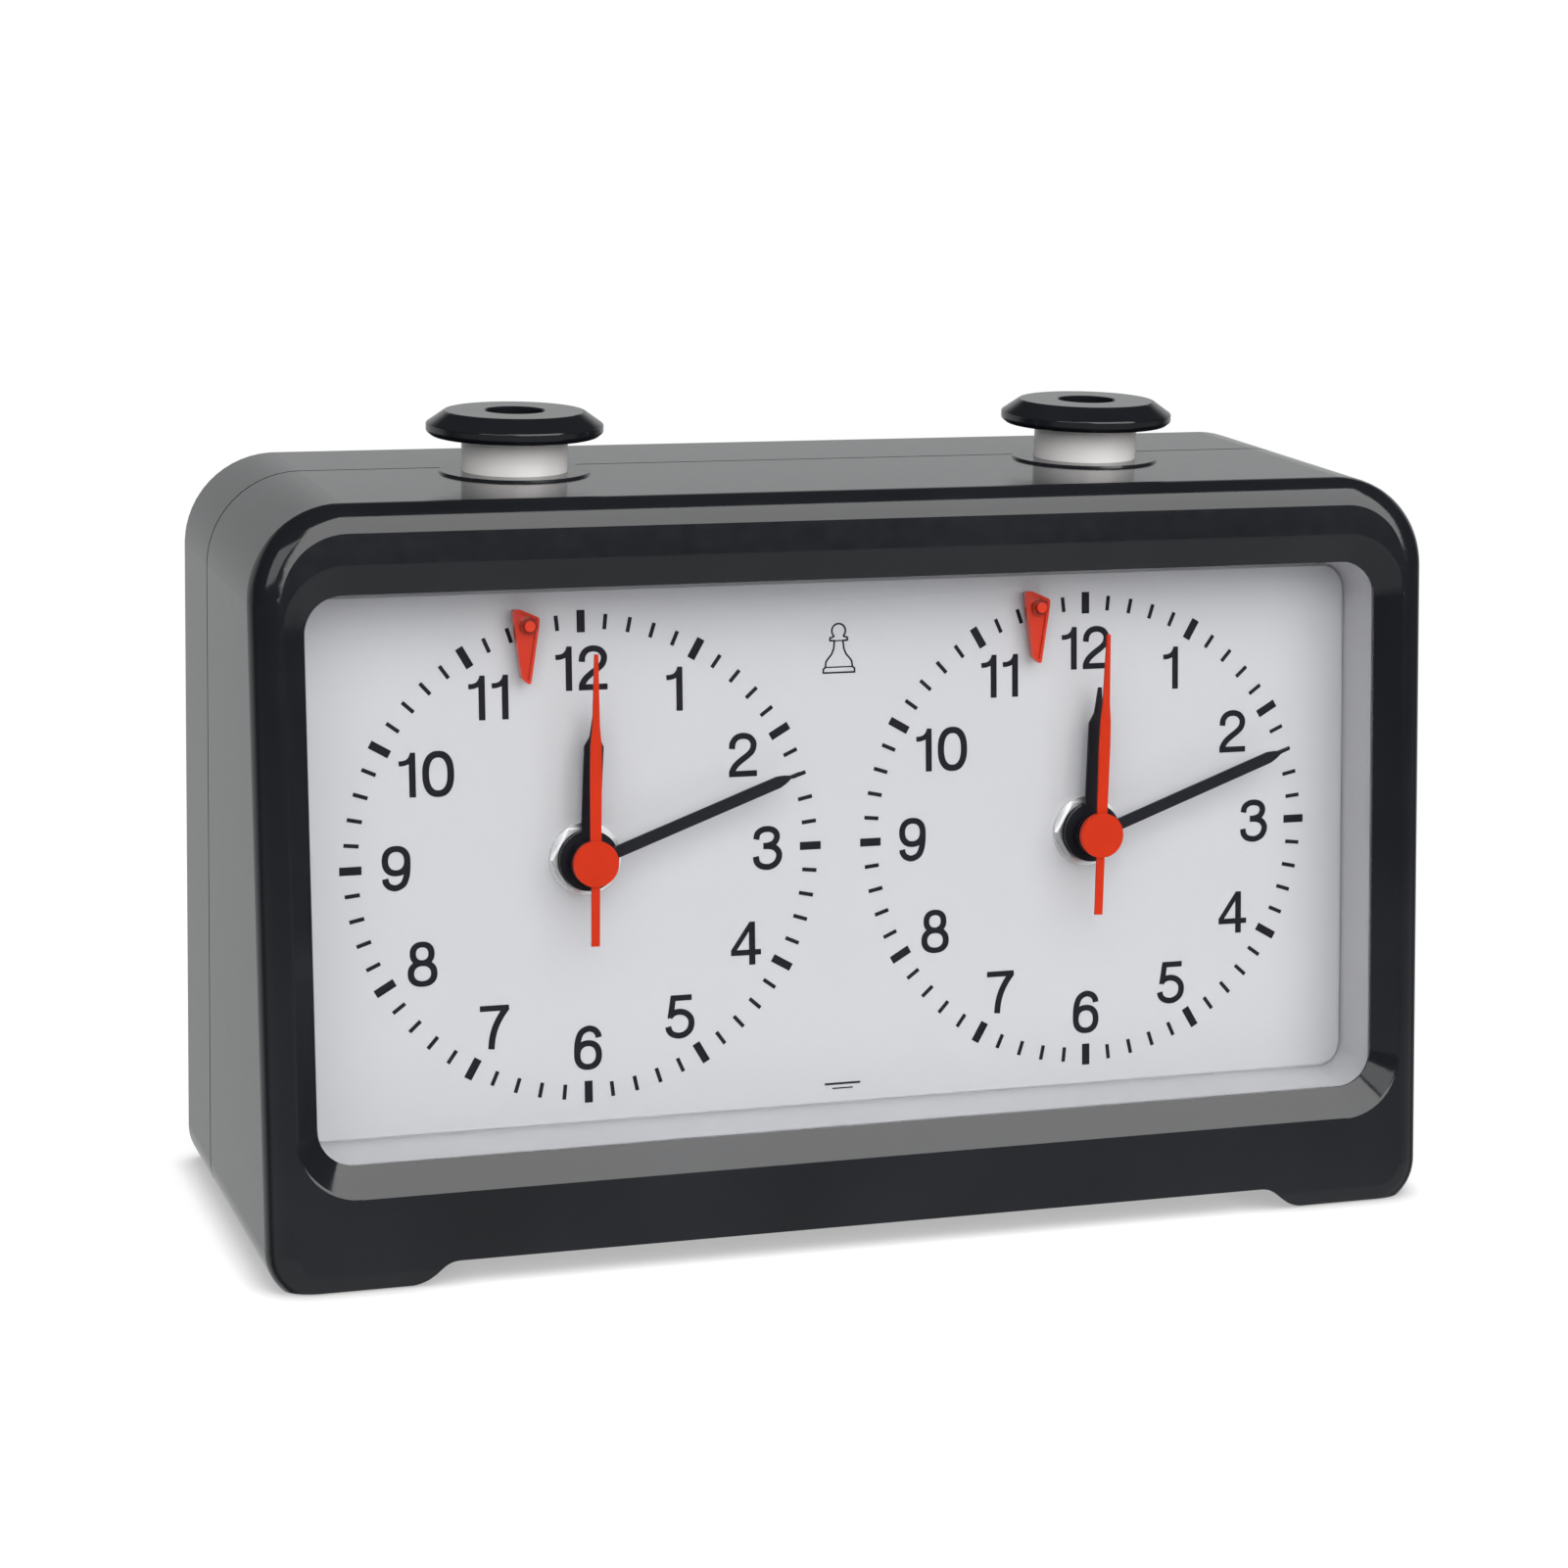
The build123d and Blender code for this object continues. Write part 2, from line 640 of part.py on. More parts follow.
# ---------------------------------------------------------------- gear wheels
def teeth(n, m, start=0.0, c=(0, 0)):
    """Corners of a gear's outline: n straight-sided teeth of module m, one at angle start."""
    tip, root = n * m / 2 + 0.85 * m, n * m / 2 - 1.2 * m
    wide, narrow = 0.235, 0.085
    if n < 15:
        wide, narrow = 0.21, 0.085
    p = 2 * pi / n
    out = []
    for i in range(n):
        a = start + i * p
        for r, d in ((root, -wide), (tip, -narrow), (tip, narrow), (root, wide)):
            out.append((c[0] + r * cos(a + d * p), c[1] + r * sin(a + d * p)))
    return out


def meshed(theta, n_a, n_b, phi):
    """Start angle of gear b, in direction phi from gear a, so that the two are in mesh."""
    return phi + pi + pi / n_b - (theta - phi) * n_a / n_b


def polar(r, deg, c=(0, 0)):
    return (c[0] + r * cos(radians(deg)), c[1] + r * sin(radians(deg)))


# tooth counts and modules
SEC_WHEEL, SEC_PINION = (40, 0.35), (8, 0.30)
INT_WHEEL, INT_PINION = (48, 0.30), (8, 0.35)
ROT_PINION = (8, 0.30)
THI_WHEEL, THI_PINION = (60, 0.30), (8, 0.2833333)
CEN_WHEEL = (64, 0.2833333)
CAN_PINION = (12, 0.25)
MOT_WHEEL, MOT_PINION = (36, 0.25), (10, 0.24)
HOU_WHEEL = (40, 0.24)
SET_PINION = (12, 0.25)

# directions and places of the wheel axes from the dial centre
DIR_MOT, DIR_THI, DIR_INT, DIR_ROT = 90.0, 170.0, 10.0, 50.0
MOT_C = polar(6.0, DIR_MOT)
SET_C = polar(12.0, DIR_MOT)
THI_C = polar(10.2, DIR_THI)
INT_C = polar(8.4, DIR_INT)
ROT_C = polar(8.4, DIR_ROT, INT_C)

# rest phases
PH_SEC_W = 0.0
PH_INT_P = meshed(PH_SEC_W, 40, 8, radians(DIR_INT))
PH_INT_W = 0.0
PH_ROT_P = meshed(PH_INT_W, 48, 8, radians(DIR_ROT))
PH_SEC_P = 0.0
PH_THI_W = meshed(PH_SEC_P, 8, 60, radians(DIR_THI))
PH_THI_P = 0.0
PH_CEN_W = meshed(PH_THI_P, 8, 64, radians(DIR_THI) + pi)
PH_CAN_P = 0.0
PH_MOT_W = meshed(PH_CAN_P, 12, 36, radians(DIR_MOT))
PH_SET_P = meshed(PH_MOT_W, 36, 12, radians(DIR_MOT))
PH_MOT_P = 0.0
PH_HOU_W = meshed(PH_MOT_P, 10, 40, radians(DIR_MOT) + pi)

# layers, as distances in front of the dial surface
H_HOUR = (-5.4, -4.4)
H_MOTION = (-7.0, -6.0)
H_CENTRE = (-8.9, -7.9)
H_THIRD = (-10.8, -9.8)
H_SECONDS = (-12.6, -11.6)
H_INTER = (-14.6, -13.6)
POST_R, HOLE_R = 0.40, 0.44

HUB_R = 4.9
MOV = 28.0            # half the side of a movement's case
H_MOV_BACK = -17.6

for side, cx in SIDE_X.items():

    # ------------------------------------------------ movement case and cover
    with BuildPart() as movement_case:
        with BuildSketch(dial(-2.5, cx)):
            RectangleRounded(2 * MOV, 2 * MOV, 4)
        extrude(amount=H_MOV_BACK + 2.5)
        with BuildSketch(dial(-4.1, cx)):          # wheel chamber
            with Locations((0, 8.3)):
                RectangleRounded(2 * MOV - 3, 36.4, 2.5)
        extrude(amount=-20, mode=Mode.SUBTRACT)
        with BuildSketch(dial(-3.7, cx)):          # battery bay
            with Locations((0, -18.9)):
                Rectangle(2 * MOV - 2.6, 15.2)
        extrude(amount=-20, mode=Mode.SUBTRACT)
        with BuildSketch(dial(-2.5, cx)):          # threaded bush through the dial
            Circle(4.0)
        extrude(amount=3.9)
        with BuildSketch(dial(-6, cx)):
            Circle(2.3)
        extrude(amount=9, mode=Mode.SUBTRACT)
    movement_case.part.label = "movement_case_" + side
    export_step(movement_case.part, "parts/movement_case_" + side + ".step")

    with BuildPart() as movement_cover:
        with BuildSketch(dial(H_MOV_BACK, cx)):
            with Locations((0, 8.9)):
                RectangleRounded(2 * MOV - 0.6, 37.6, 3)
        extrude(amount=-1.4)
        with BuildSketch(dial(H_MOV_BACK + 1.2, cx)):
            with Locations((0, 8.9)):
                RectangleRounded(2 * MOV - 3.2, 35.0, 2.4)
                RectangleRounded(2 * MOV - 5.2, 33.0, 1.6, mode=Mode.SUBTRACT)
        extrude(amount=-1.2)
        with BuildSketch(dial(H_MOV_BACK + 0.4, cx)):   # seat of the seconds arbor
            Circle(1.6)
        extrude(amount=-1.0)
        with BuildSketch(dial(H_MOV_BACK + 1, cx)):
            with Locations(SET_C):
                Circle(1.86)
        extrude(amount=-6, mode=Mode.SUBTRACT)
        with BuildSketch(dial(H_MOV_BACK + 1, cx)):
            Circle(0.5)
        extrude(amount=-2, mode=Mode.SUBTRACT)
    movement_cover.part.label = "movement_cover_" + side
    export_step(movement_cover.part, "parts/movement_cover_" + side + ".step")

    # ------------------------------------------------ battery, electrics
    with BuildPart() as battery:
        with BuildSketch(Plane(origin=at(cx - 24.4, -18.9, -11.15), x_dir=(0, 1, 0), z_dir=(1, 0, 0))):
            Circle(7.1)
        extrude(amount=48.8)
        chamfer(battery.edges().filter_by(GeomType.CIRCLE), 0.5)
        with BuildSketch(Plane(origin=at(cx + 24.4, -18.9, -11.15), x_dir=(0, 1, 0), z_dir=(1, 0, 0))):
            Circle(2.7)
        extrude(amount=1.1)
    battery.part.label = "battery_" + side
    export_step(battery.part, "parts/battery_" + side + ".step")

    with BuildPart() as coil:
        with BuildSketch(dial(-17.2, cx)):
            with Locations((ROT_C[0], 20.6)):
                RectangleRounded(12.4, 7, 1.6)
        extrude(amount=5.0)
        with BuildSketch(dial(-17.3, cx)):
            with Locations((ROT_C[0] - 6.3, 20.6), (ROT_C[0] + 6.3, 20.6)):
                RectangleRounded(1.2, 8.0, 0.5)
        extrude(amount=5.2)
        with BuildSketch(dial(-16.5, cx)):
            with Locations((ROT_C[0], 20.6)):
                Rectangle(30, 3.0)
        extrude(amount=1.0, mode=Mode.SUBTRACT)
    coil.part.label = "coil_" + side
    export_step(coil.part, "parts/coil_" + side + ".step")

    with BuildPart() as stator:
        sx = ROT_C[0]
        with BuildSketch(dial(-16.5, cx)):
            with Locations((sx, 20.6)):
                Rectangle(20.2, 3.0)
            with Locations((sx - 8.6, 14.5), (sx + 8.6, 14.5)):
                Rectangle(3.0, 15.0)
            with Locations((sx, ROT_C[1])):
                Rectangle(20.2, 4.6)
            with Locations(ROT_C):
                Circle(5.0)
            with Locations(ROT_C):
                Circle(3.4, mode=Mode.SUBTRACT)
        extrude(amount=1.0)
    stator.part.label = "stator_" + side
    export_step(stator.part, "parts/stator_" + side + ".step")

    with BuildPart() as circuit_board:
        with BuildSketch(dial(-16.6, cx)):
            with Locations((-15.0, 18.6)):
                RectangleRounded(19, 12.6, 0.8)
        extrude(amount=1.0)
        with BuildSketch(dial(-15.6, cx)):           # potted chip
            with Locations((-17.5, 18.0)):
                Circle(3.0)
        extrude(amount=1.0)
        with BuildSketch(Plane(origin=at(cx - 12.5, 21.9, -14.4), x_dir=(0, 1, 0), z_dir=(1, 0, 0))):
            Circle(1.3)                              # quartz crystal can
        extrude(amount=6.0)
    circuit_board.part.label = "circuit_board_" + side
    export_step(circuit_board.part, "parts/circuit_board_" + side + ".step")

    # ------------------------------------------------ going train
    with BuildPart() as rotor:
        with BuildSketch(dial(-16.8, cx)):
            with Locations(ROT_C):
                Circle(2.9)
        extrude(amount=1.7)
        with BuildSketch(dial(-15.2, cx)):
            with BuildLine():
                Polyline(*teeth(*ROT_PINION, PH_ROT_P, ROT_C), close=True)
            make_face()
        extrude(amount=1.8)
        with BuildSketch(dial(-18, cx)):
            with Locations(ROT_C):
                Circle(HOLE_R)
        extrude(amount=8, mode=Mode.SUBTRACT)
    rotor.part.label = "rotor_" + side
    export_step(rotor.part, "parts/rotor_" + side + ".step")

    with BuildPart() as intermediate_wheel:
        with BuildSketch(dial(H_INTER[0], cx)):
            with BuildLine():
                Polyline(*teeth(*INT_WHEEL, PH_INT_W, INT_C), close=True)
            make_face()
        extrude(amount=H_INTER[1] - H_INTER[0])
        with BuildSketch(dial(H_INTER[0] - 0.2, cx)):    # crossings
            with Locations(INT_C):
                with PolarLocations(3.75, 4):
                    Circle(1.85)
        extrude(amount=H_INTER[1] - H_INTER[0] + 0.4, mode=Mode.SUBTRACT)
        with BuildSketch(dial(H_INTER[1], cx)):
            with Locations(INT_C):
                Circle(1.0)
        extrude(amount=H_SECONDS[0] - 0.1 - H_INTER[1])
        with BuildSketch(dial(H_SECONDS[0] - 0.1, cx)):
            with BuildLine():
                Polyline(*teeth(*INT_PINION, PH_INT_P, INT_C), close=True)
            make_face()
        extrude(amount=1.2)
        with BuildSketch(dial(-18, cx)):
            with Locations(INT_C):
                Circle(HOLE_R)
        extrude(amount=10, mode=Mode.SUBTRACT)
    intermediate_wheel.part.label = "intermediate_wheel_" + side
    export_step(intermediate_wheel.part, "parts/intermediate_wheel_" + side + ".step")

    with BuildPart() as seconds_wheel:
        with BuildSketch(dial(H_SECONDS[0], cx)):
            with BuildLine():
                Polyline(*teeth(*SEC_WHEEL, PH_SEC_W, (0, 0)), close=True)
            make_face()
        extrude(amount=H_SECONDS[1] - H_SECONDS[0])
        with BuildSketch(dial(H_SECONDS[0] - 0.2, cx)):    # crossings
            with Locations((0, 0)):
                with PolarLocations(3.50, 4):
                    Circle(1.90)
        extrude(amount=H_SECONDS[1] - H_SECONDS[0] + 0.4, mode=Mode.SUBTRACT)
        with BuildSketch(dial(H_THIRD[0] - 0.1, cx)):
            with BuildLine():
                Polyline(*teeth(*SEC_PINION, PH_SEC_P), close=True)
            make_face()
        extrude(amount=1.2)
        with BuildSketch(dial(-17.5, cx)):
            Circle(0.45)
        extrude(amount=17.5 + 5.4)
        with BuildSketch(dial(H_SECONDS[1], cx)):
            Circle(0.8)
        extrude(amount=H_THIRD[0] - 0.1 - H_SECONDS[1])
    seconds_wheel.part.label = "seconds_wheel_" + side
    export_step(seconds_wheel.part, "parts/seconds_wheel_" + side + ".step")

    with BuildPart() as third_wheel:
        with BuildSketch(dial(H_THIRD[0], cx)):
            with BuildLine():
                Polyline(*teeth(*THI_WHEEL, PH_THI_W, THI_C), close=True)
            make_face()
        extrude(amount=H_THIRD[1] - H_THIRD[0])
        with BuildSketch(dial(H_THIRD[0] - 0.2, cx)):    # crossings
            with Locations(THI_C):
                with PolarLocations(4.65, 4):
                    Circle(2.75)
        extrude(amount=H_THIRD[1] - H_THIRD[0] + 0.4, mode=Mode.SUBTRACT)
        with BuildSketch(dial(H_THIRD[1], cx)):
            with Locations(THI_C):
                Circle(0.75)
        extrude(amount=H_CENTRE[0] - 0.1 - H_THIRD[1])
        with BuildSketch(dial(H_CENTRE[0] - 0.1, cx)):
            with BuildLine():
                Polyline(*teeth(*THI_PINION, PH_THI_P, THI_C), close=True)
            make_face()
        extrude(amount=1.2)
        with BuildSketch(dial(-12, cx)):
            with Locations(THI_C):
                Circle(HOLE_R)
        extrude(amount=8, mode=Mode.SUBTRACT)
    third_wheel.part.label = "third_wheel_" + side
    export_step(third_wheel.part, "parts/third_wheel_" + side + ".step")

    with BuildPart() as centre_wheel:
        with BuildSketch(dial(H_CENTRE[0], cx)):
            with BuildLine():
                Polyline(*teeth(*CEN_WHEEL, PH_CEN_W, (0, 0)), close=True)
            make_face()
        extrude(amount=H_CENTRE[1] - H_CENTRE[0])
        with BuildSketch(dial(H_CENTRE[0] - 0.2, cx)):    # crossings
            with Locations((0, 0)):
                with PolarLocations(4.90, 4):
                    Circle(2.50)
        extrude(amount=H_CENTRE[1] - H_CENTRE[0] + 0.4, mode=Mode.SUBTRACT)
        with BuildSketch(dial(-10, cx)):
            Circle(1.26)
        extrude(amount=4, mode=Mode.SUBTRACT)
    centre_wheel.part.label = "centre_wheel_" + side
    export_step(centre_wheel.part, "parts/centre_wheel_" + side + ".step")

    # ------------------------------------------------ motion work
    with BuildPart() as minute_cannon:
        with BuildSketch(dial(-9.4, cx)):
            Circle(1.2)
        extrude(amount=9.4 + 4.4)
        with BuildSketch(dial(-9.4, cx)):            # collar behind the centre wheel
            Circle(1.9)
        extrude(amount=0.4)
        with BuildSketch(dial(H_MOTION[0] - 0.2, cx)):
            with BuildLine():
                Polyline(*teeth(*CAN_PINION, PH_CAN_P), close=True)
            make_face()
        extrude(amount=1.3)
        with BuildSketch(dial(-12, cx)):
            Circle(0.52)
        extrude(amount=20, mode=Mode.SUBTRACT)
    minute_cannon.part.label = "minute_cannon_" + side
    export_step(minute_cannon.part, "parts/minute_cannon_" + side + ".step")

    with BuildPart() as motion_wheel:
        with BuildSketch(dial(H_MOTION[0], cx)):
            with BuildLine():
                Polyline(*teeth(*MOT_WHEEL, PH_MOT_W, MOT_C), close=True)
            make_face()
        extrude(amount=H_MOTION[1] - H_MOTION[0])
        with BuildSketch(dial(H_MOTION[1], cx)):
            with Locations(MOT_C):
                Circle(0.75)
        extrude(amount=H_HOUR[0] - 0.1 - H_MOTION[1])
        with BuildSketch(dial(H_HOUR[0] - 0.1, cx)):
            with BuildLine():
                Polyline(*teeth(*MOT_PINION, PH_MOT_P, MOT_C), close=True)
            make_face()
        extrude(amount=1.1)
        with BuildSketch(dial(-8, cx)):
            with Locations(MOT_C):
                Circle(HOLE_R)
        extrude(amount=6, mode=Mode.SUBTRACT)
    motion_wheel.part.label = "motion_wheel_" + side
    export_step(motion_wheel.part, "parts/motion_wheel_" + side + ".step")

    with BuildPart() as hour_wheel:
        with BuildSketch(dial(H_HOUR[0], cx)):
            with BuildLine():
                Polyline(*teeth(*HOU_WHEEL, PH_HOU_W, (0, 0)), close=True)
            make_face()
        extrude(amount=H_HOUR[1] - H_HOUR[0])
        with BuildSketch(dial(H_HOUR[0] - 0.2, cx)):
            Circle(1.9)
        extrude(amount=2.7 - H_HOUR[0] + 0.2)
        with BuildSketch(dial(-8, cx)):
            Circle(1.26)
        extrude(amount=14, mode=Mode.SUBTRACT)
    hour_wheel.part.label = "hour_wheel_" + side
    export_step(hour_wheel.part, "parts/hour_wheel_" + side + ".step")

    with BuildPart() as set_knob:
        with BuildSketch(dial(H_MOTION[0] - 0.2, cx)):
            with BuildLine():
                Polyline(*teeth(*SET_PINION, PH_SET_P, SET_C), close=True)
            make_face()
        extrude(amount=1.3)
        with BuildSketch(dial(H_MOTION[0] - 0.2, cx)):
            with Locations(SET_C):
                Circle(1.8)
        extrude(amount=-30.4)
        with BuildSketch(dial(-37.4, cx)):
            with Locations(SET_C):
                Circle(6.2)
        extrude(amount=-5.2)
        # finger grooves round the knob
        with BuildSketch(dial(-38.4, cx)):
            with Locations(SET_C):
                with PolarLocations(6.45, 18):
                    Circle(0.62)
        extrude(amount=-6, mode=Mode.SUBTRACT)
        with BuildSketch(dial(-42.6, cx)):
            with Locations(SET_C):
                Circle(3.6)
        extrude(amount=0.5, mode=Mode.SUBTRACT)
    set_knob.part.label = "set_knob_" + side
    export_step(set_knob.part, "parts/set_knob_" + side + ".step")

    # ------------------------------------------------ hands
    with BuildPart() as hour_hand:
        hour_shape = [(-1.26, 0), (-1.33, 15.3), (-0.62, 16.7), (-0.22, 20.3), (0.22, 20.3), (0.62, 16.7), (1.33, 15.3), (1.26, 0)]
        with BuildSketch(dial(2.2, cx)):
            with BuildLine():
                Polyline(*turn(hour_shape, HOUR_ANGLE), close=True)
            make_face()
            Circle(4.1)
            Circle(1.9, mode=Mode.SUBTRACT)
        extrude(amount=0.4)
    hour_hand.part.label = "hour_hand_" + side
    export_step(hour_hand.part, "parts/hour_hand_" + side + ".step")

    with BuildPart() as minute_hand:
        minute_shape = [
            (-0.80, 0), (-0.80, 27.8), (-0.52, 28.85), (-0.20, 29.6), (-0.17, 31.0),
            (0.17, 31.0), (0.20, 29.6), (0.52, 28.85), (0.80, 27.8), (0.80, 0),
        ]
        with BuildSketch(dial(4.0, cx)):
            with BuildLine():
                Polyline(*turn(minute_shape, MINUTE_ANGLE), close=True)
            make_face()
            Circle(3.0)
            Circle(1.2, mode=Mode.SUBTRACT)
        extrude(amount=0.4)
    minute_hand.part.label = "minute_hand_" + side
    export_step(minute_hand.part, "parts/minute_hand_" + side + ".step")

    with BuildPart() as second_hand:
        second_shape = [
            (-0.56, -11.1), (-0.58, -2.5), (-0.74, 3.0), (-0.80, 12.5), (-0.74, 15.8), (-0.50, 18.4), (-0.42, 21.5),
            (-0.25, 27.9), (0.25, 27.9), (0.42, 21.5), (0.50, 18.4), (0.74, 15.8), (0.80, 12.5), (0.74, 3.0),
            (0.58, -2.5), (0.56, -11.1),
        ]
        with BuildSketch(dial(5.5, cx)):
            with BuildLine():
                Polyline(*turn(second_shape, SECOND_ANGLE[side]), close=True)
            make_face()
        extrude(amount=0.35)
        with BuildSketch(dial(5.3, cx)):
            Circle(3.1)
        extrude(amount=0.9)
        with BuildSketch(dial(5.2, cx)):
            Circle(0.45)
        extrude(amount=0.2, mode=Mode.SUBTRACT)
    second_hand.part.label = "second_hand_" + side
    export_step(second_hand.part, "parts/second_hand_" + side + ".step")

# ---------------------------------------------------------------- small shared pieces
with BuildPart() as dial_nuts:
    for cx in SIDE_X.values():
        with BuildSketch(dial(0.0, cx)):
            Circle(HUB_R)
        extrude(amount=0.5)
        with BuildSketch(dial(0.5, cx)):
            RegularPolygon(4.75, 6)
        extrude(amount=0.7)
        with BuildSketch(dial(-1, cx)):
            Circle(4.05)
        extrude(amount=4, mode=Mode.SUBTRACT)
dial_nuts.part.label = "dial_nuts"
export_step(dial_nuts.part, "parts/dial_nuts.step")

with BuildPart() as battery_contacts:
    for cx in SIDE_X.values():
        for s in (-1, 1):
            with BuildSketch(dial(-15.6, cx)):
                with Locations((s * 26.35, -18.9)):
                    Rectangle(0.4, 9.0)
            extrude(amount=9.0)
battery_contacts.part.label = "battery_contacts"
export_step(battery_contacts.part, "parts/battery_contacts.step")

with BuildPart() as wheel_posts:
    for cx in SIDE_X.values():
        with BuildSketch(dial(-4.1, cx)):
            with Locations(MOT_C):
                Circle(POST_R)
        extrude(amount=-3.1)
        with BuildSketch(dial(-4.1, cx)):
            with Locations(THI_C):
                Circle(POST_R)
        extrude(amount=-6.9)
        with BuildSketch(dial(H_MOV_BACK, cx)):
            with Locations(INT_C):
                Circle(POST_R)
        extrude(amount=6.3)
        with BuildSketch(dial(H_MOV_BACK, cx)):
            with Locations(ROT_C):
                Circle(POST_R)
        extrude(amount=4.6)
wheel_posts.part.label = "wheel_posts"
export_step(wheel_posts.part, "parts/wheel_posts.step")
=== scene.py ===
import json
import math

import bmesh
import bpy
from mathutils import Matrix, Vector


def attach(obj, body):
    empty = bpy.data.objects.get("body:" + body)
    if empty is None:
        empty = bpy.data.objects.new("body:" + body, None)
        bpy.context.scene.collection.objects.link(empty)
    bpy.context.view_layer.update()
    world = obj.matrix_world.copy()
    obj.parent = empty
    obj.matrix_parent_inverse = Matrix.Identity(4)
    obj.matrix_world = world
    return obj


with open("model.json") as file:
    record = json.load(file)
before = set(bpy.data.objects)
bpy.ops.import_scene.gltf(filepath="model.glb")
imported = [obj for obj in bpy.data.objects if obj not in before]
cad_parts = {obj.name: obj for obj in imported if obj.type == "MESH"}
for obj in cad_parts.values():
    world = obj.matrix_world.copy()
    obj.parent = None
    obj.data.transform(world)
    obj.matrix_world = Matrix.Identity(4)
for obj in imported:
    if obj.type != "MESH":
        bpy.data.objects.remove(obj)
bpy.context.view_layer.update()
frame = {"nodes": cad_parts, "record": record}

NODES = frame["nodes"]

# ------------------------------------------------------------------ dial frame
# Numbers repeated from the part's source, in millimetres.
LEAN = math.radians(4.3)
CENTRE_HEIGHT = 52.18
ORIGIN_Y = -16.45
PITCH = 72.5
CA, SA = math.cos(LEAN), math.sin(LEAN)
SIDES = {"left": -PITCH / 2, "right": PITCH / 2}


def at(x, zd, h):
    """Dial coordinates in mm (x, height along the dial, distance in front of it) to metres."""
    return Vector((x, ORIGIN_Y - CA * h + SA * zd, CENTRE_HEIGHT + SA * h + CA * zd)) / 1000


def dial_dir(x, zd, h):
    return Vector((x, -CA * h + SA * zd, SA * h + CA * zd))


# ------------------------------------------------------------------ materials
def new_mat(name):
    m = bpy.data.materials.new(name)
    m.use_nodes = True
    nt = m.node_tree
    for n in list(nt.nodes):
        nt.nodes.remove(n)
    out = nt.nodes.new("ShaderNodeOutputMaterial")
    bsdf = nt.nodes.new("ShaderNodeBsdfPrincipled")
    nt.links.new(bsdf.outputs[0], out.inputs[0])
    coord = nt.nodes.new("ShaderNodeTexCoord")
    return m, nt, bsdf, coord, out


def noise(nt, coord, scale, detail=3.0, rough=0.5, stretch=None):
    n = nt.nodes.new("ShaderNodeTexNoise")
    n.inputs["Scale"].default_value = scale
    n.inputs["Detail"].default_value = detail
    n.inputs["Roughness"].default_value = rough
    if stretch:
        mp = nt.nodes.new("ShaderNodeMapping")
        mp.inputs["Scale"].default_value = stretch
        nt.links.new(coord.outputs["Object"], mp.inputs["Vector"])
        nt.links.new(mp.outputs[0], n.inputs["Vector"])
    else:
        nt.links.new(coord.outputs["Object"], n.inputs["Vector"])
    return n.outputs[0]


def ramp(nt, src, lo, hi, a, b):
    r = nt.nodes.new("ShaderNodeValToRGB")
    r.color_ramp.elements[0].position = lo
    r.color_ramp.elements[1].position = hi
    r.color_ramp.elements[0].color = (*a, 1)
    r.color_ramp.elements[1].color = (*b, 1)
    nt.links.new(src, r.inputs[0])
    return r.outputs[0]


def spread(nt, src, a, b, lo=0.3, hi=0.7):
    """A value that runs from a to b as src runs from lo to hi."""
    r = nt.nodes.new("ShaderNodeMapRange")
    r.inputs["From Min"].default_value = lo
    r.inputs["From Max"].default_value = hi
    r.inputs["To Min"].default_value = a
    r.inputs["To Max"].default_value = b
    nt.links.new(src, r.inputs["Value"])
    return r.outputs[0]


def bump(nt, bsdf, src, strength, distance, chain=None):
    b = nt.nodes.new("ShaderNodeBump")
    b.inputs["Strength"].default_value = strength
    b.inputs["Distance"].default_value = distance
    nt.links.new(src, b.inputs["Height"])
    if chain is not None:
        nt.links.new(chain, b.inputs["Normal"])
    nt.links.new(b.outputs[0], bsdf.inputs["Normal"])
    return b.outputs[0]


def plastic(name, colour, rough, vary=0.04, tone=0.12, ior=1.5, grain=0.0, grain_scale=2600.0, wave=0.0, coat=0.0):
    """Moulded plastic: faint tone and gloss variation, the slow waviness of a moulded skin, and fine grain."""
    m, nt, bsdf, coord, _ = new_mat(name)
    slow = noise(nt, coord, 55.0, 3.0)
    a = tuple(c * (1 - tone) for c in colour)
    b = tuple(min(1.0, c * (1 + tone)) for c in colour)
    nt.links.new(ramp(nt, slow, 0.3, 0.7, a, b), bsdf.inputs["Base Color"])
    fine = noise(nt, coord, 420.0, 4.0)
    nt.links.new(spread(nt, fine, max(0.01, rough - vary), rough + vary), bsdf.inputs["Roughness"])
    bsdf.inputs["IOR"].default_value = ior
    chain = None
    if wave:
        chain = bump(nt, bsdf, noise(nt, coord, 28.0, 1.0), wave, 0.0006)
    if grain:
        bump(nt, bsdf, noise(nt, coord, grain_scale, 3.0), grain, 0.00006, chain)
    if coat:
        bsdf.inputs["Coat Weight"].default_value = coat
        bsdf.inputs["Coat Roughness"].default_value = 0.05
    return m


def metal(name, colour, rough, brushed=None, spin=False, vary=0.08):
    m, nt, bsdf, coord, _ = new_mat(name)
    slow = noise(nt, coord, 140.0, 3.0)
    a = tuple(c * 0.9 for c in colour)
    b = tuple(min(1.0, c * 1.06) for c in colour)
    nt.links.new(ramp(nt, slow, 0.3, 0.7, a, b), bsdf.inputs["Base Color"])
    bsdf.inputs["Metallic"].default_value = 1.0
    streak = noise(nt, coord, 900.0, 2.0, stretch=brushed or (1, 1, 1))
    nt.links.new(spread(nt, streak, max(0.03, rough - vary), rough + vary), bsdf.inputs["Roughness"])
    bump(nt, bsdf, streak, 0.12, 0.00004)
    return m


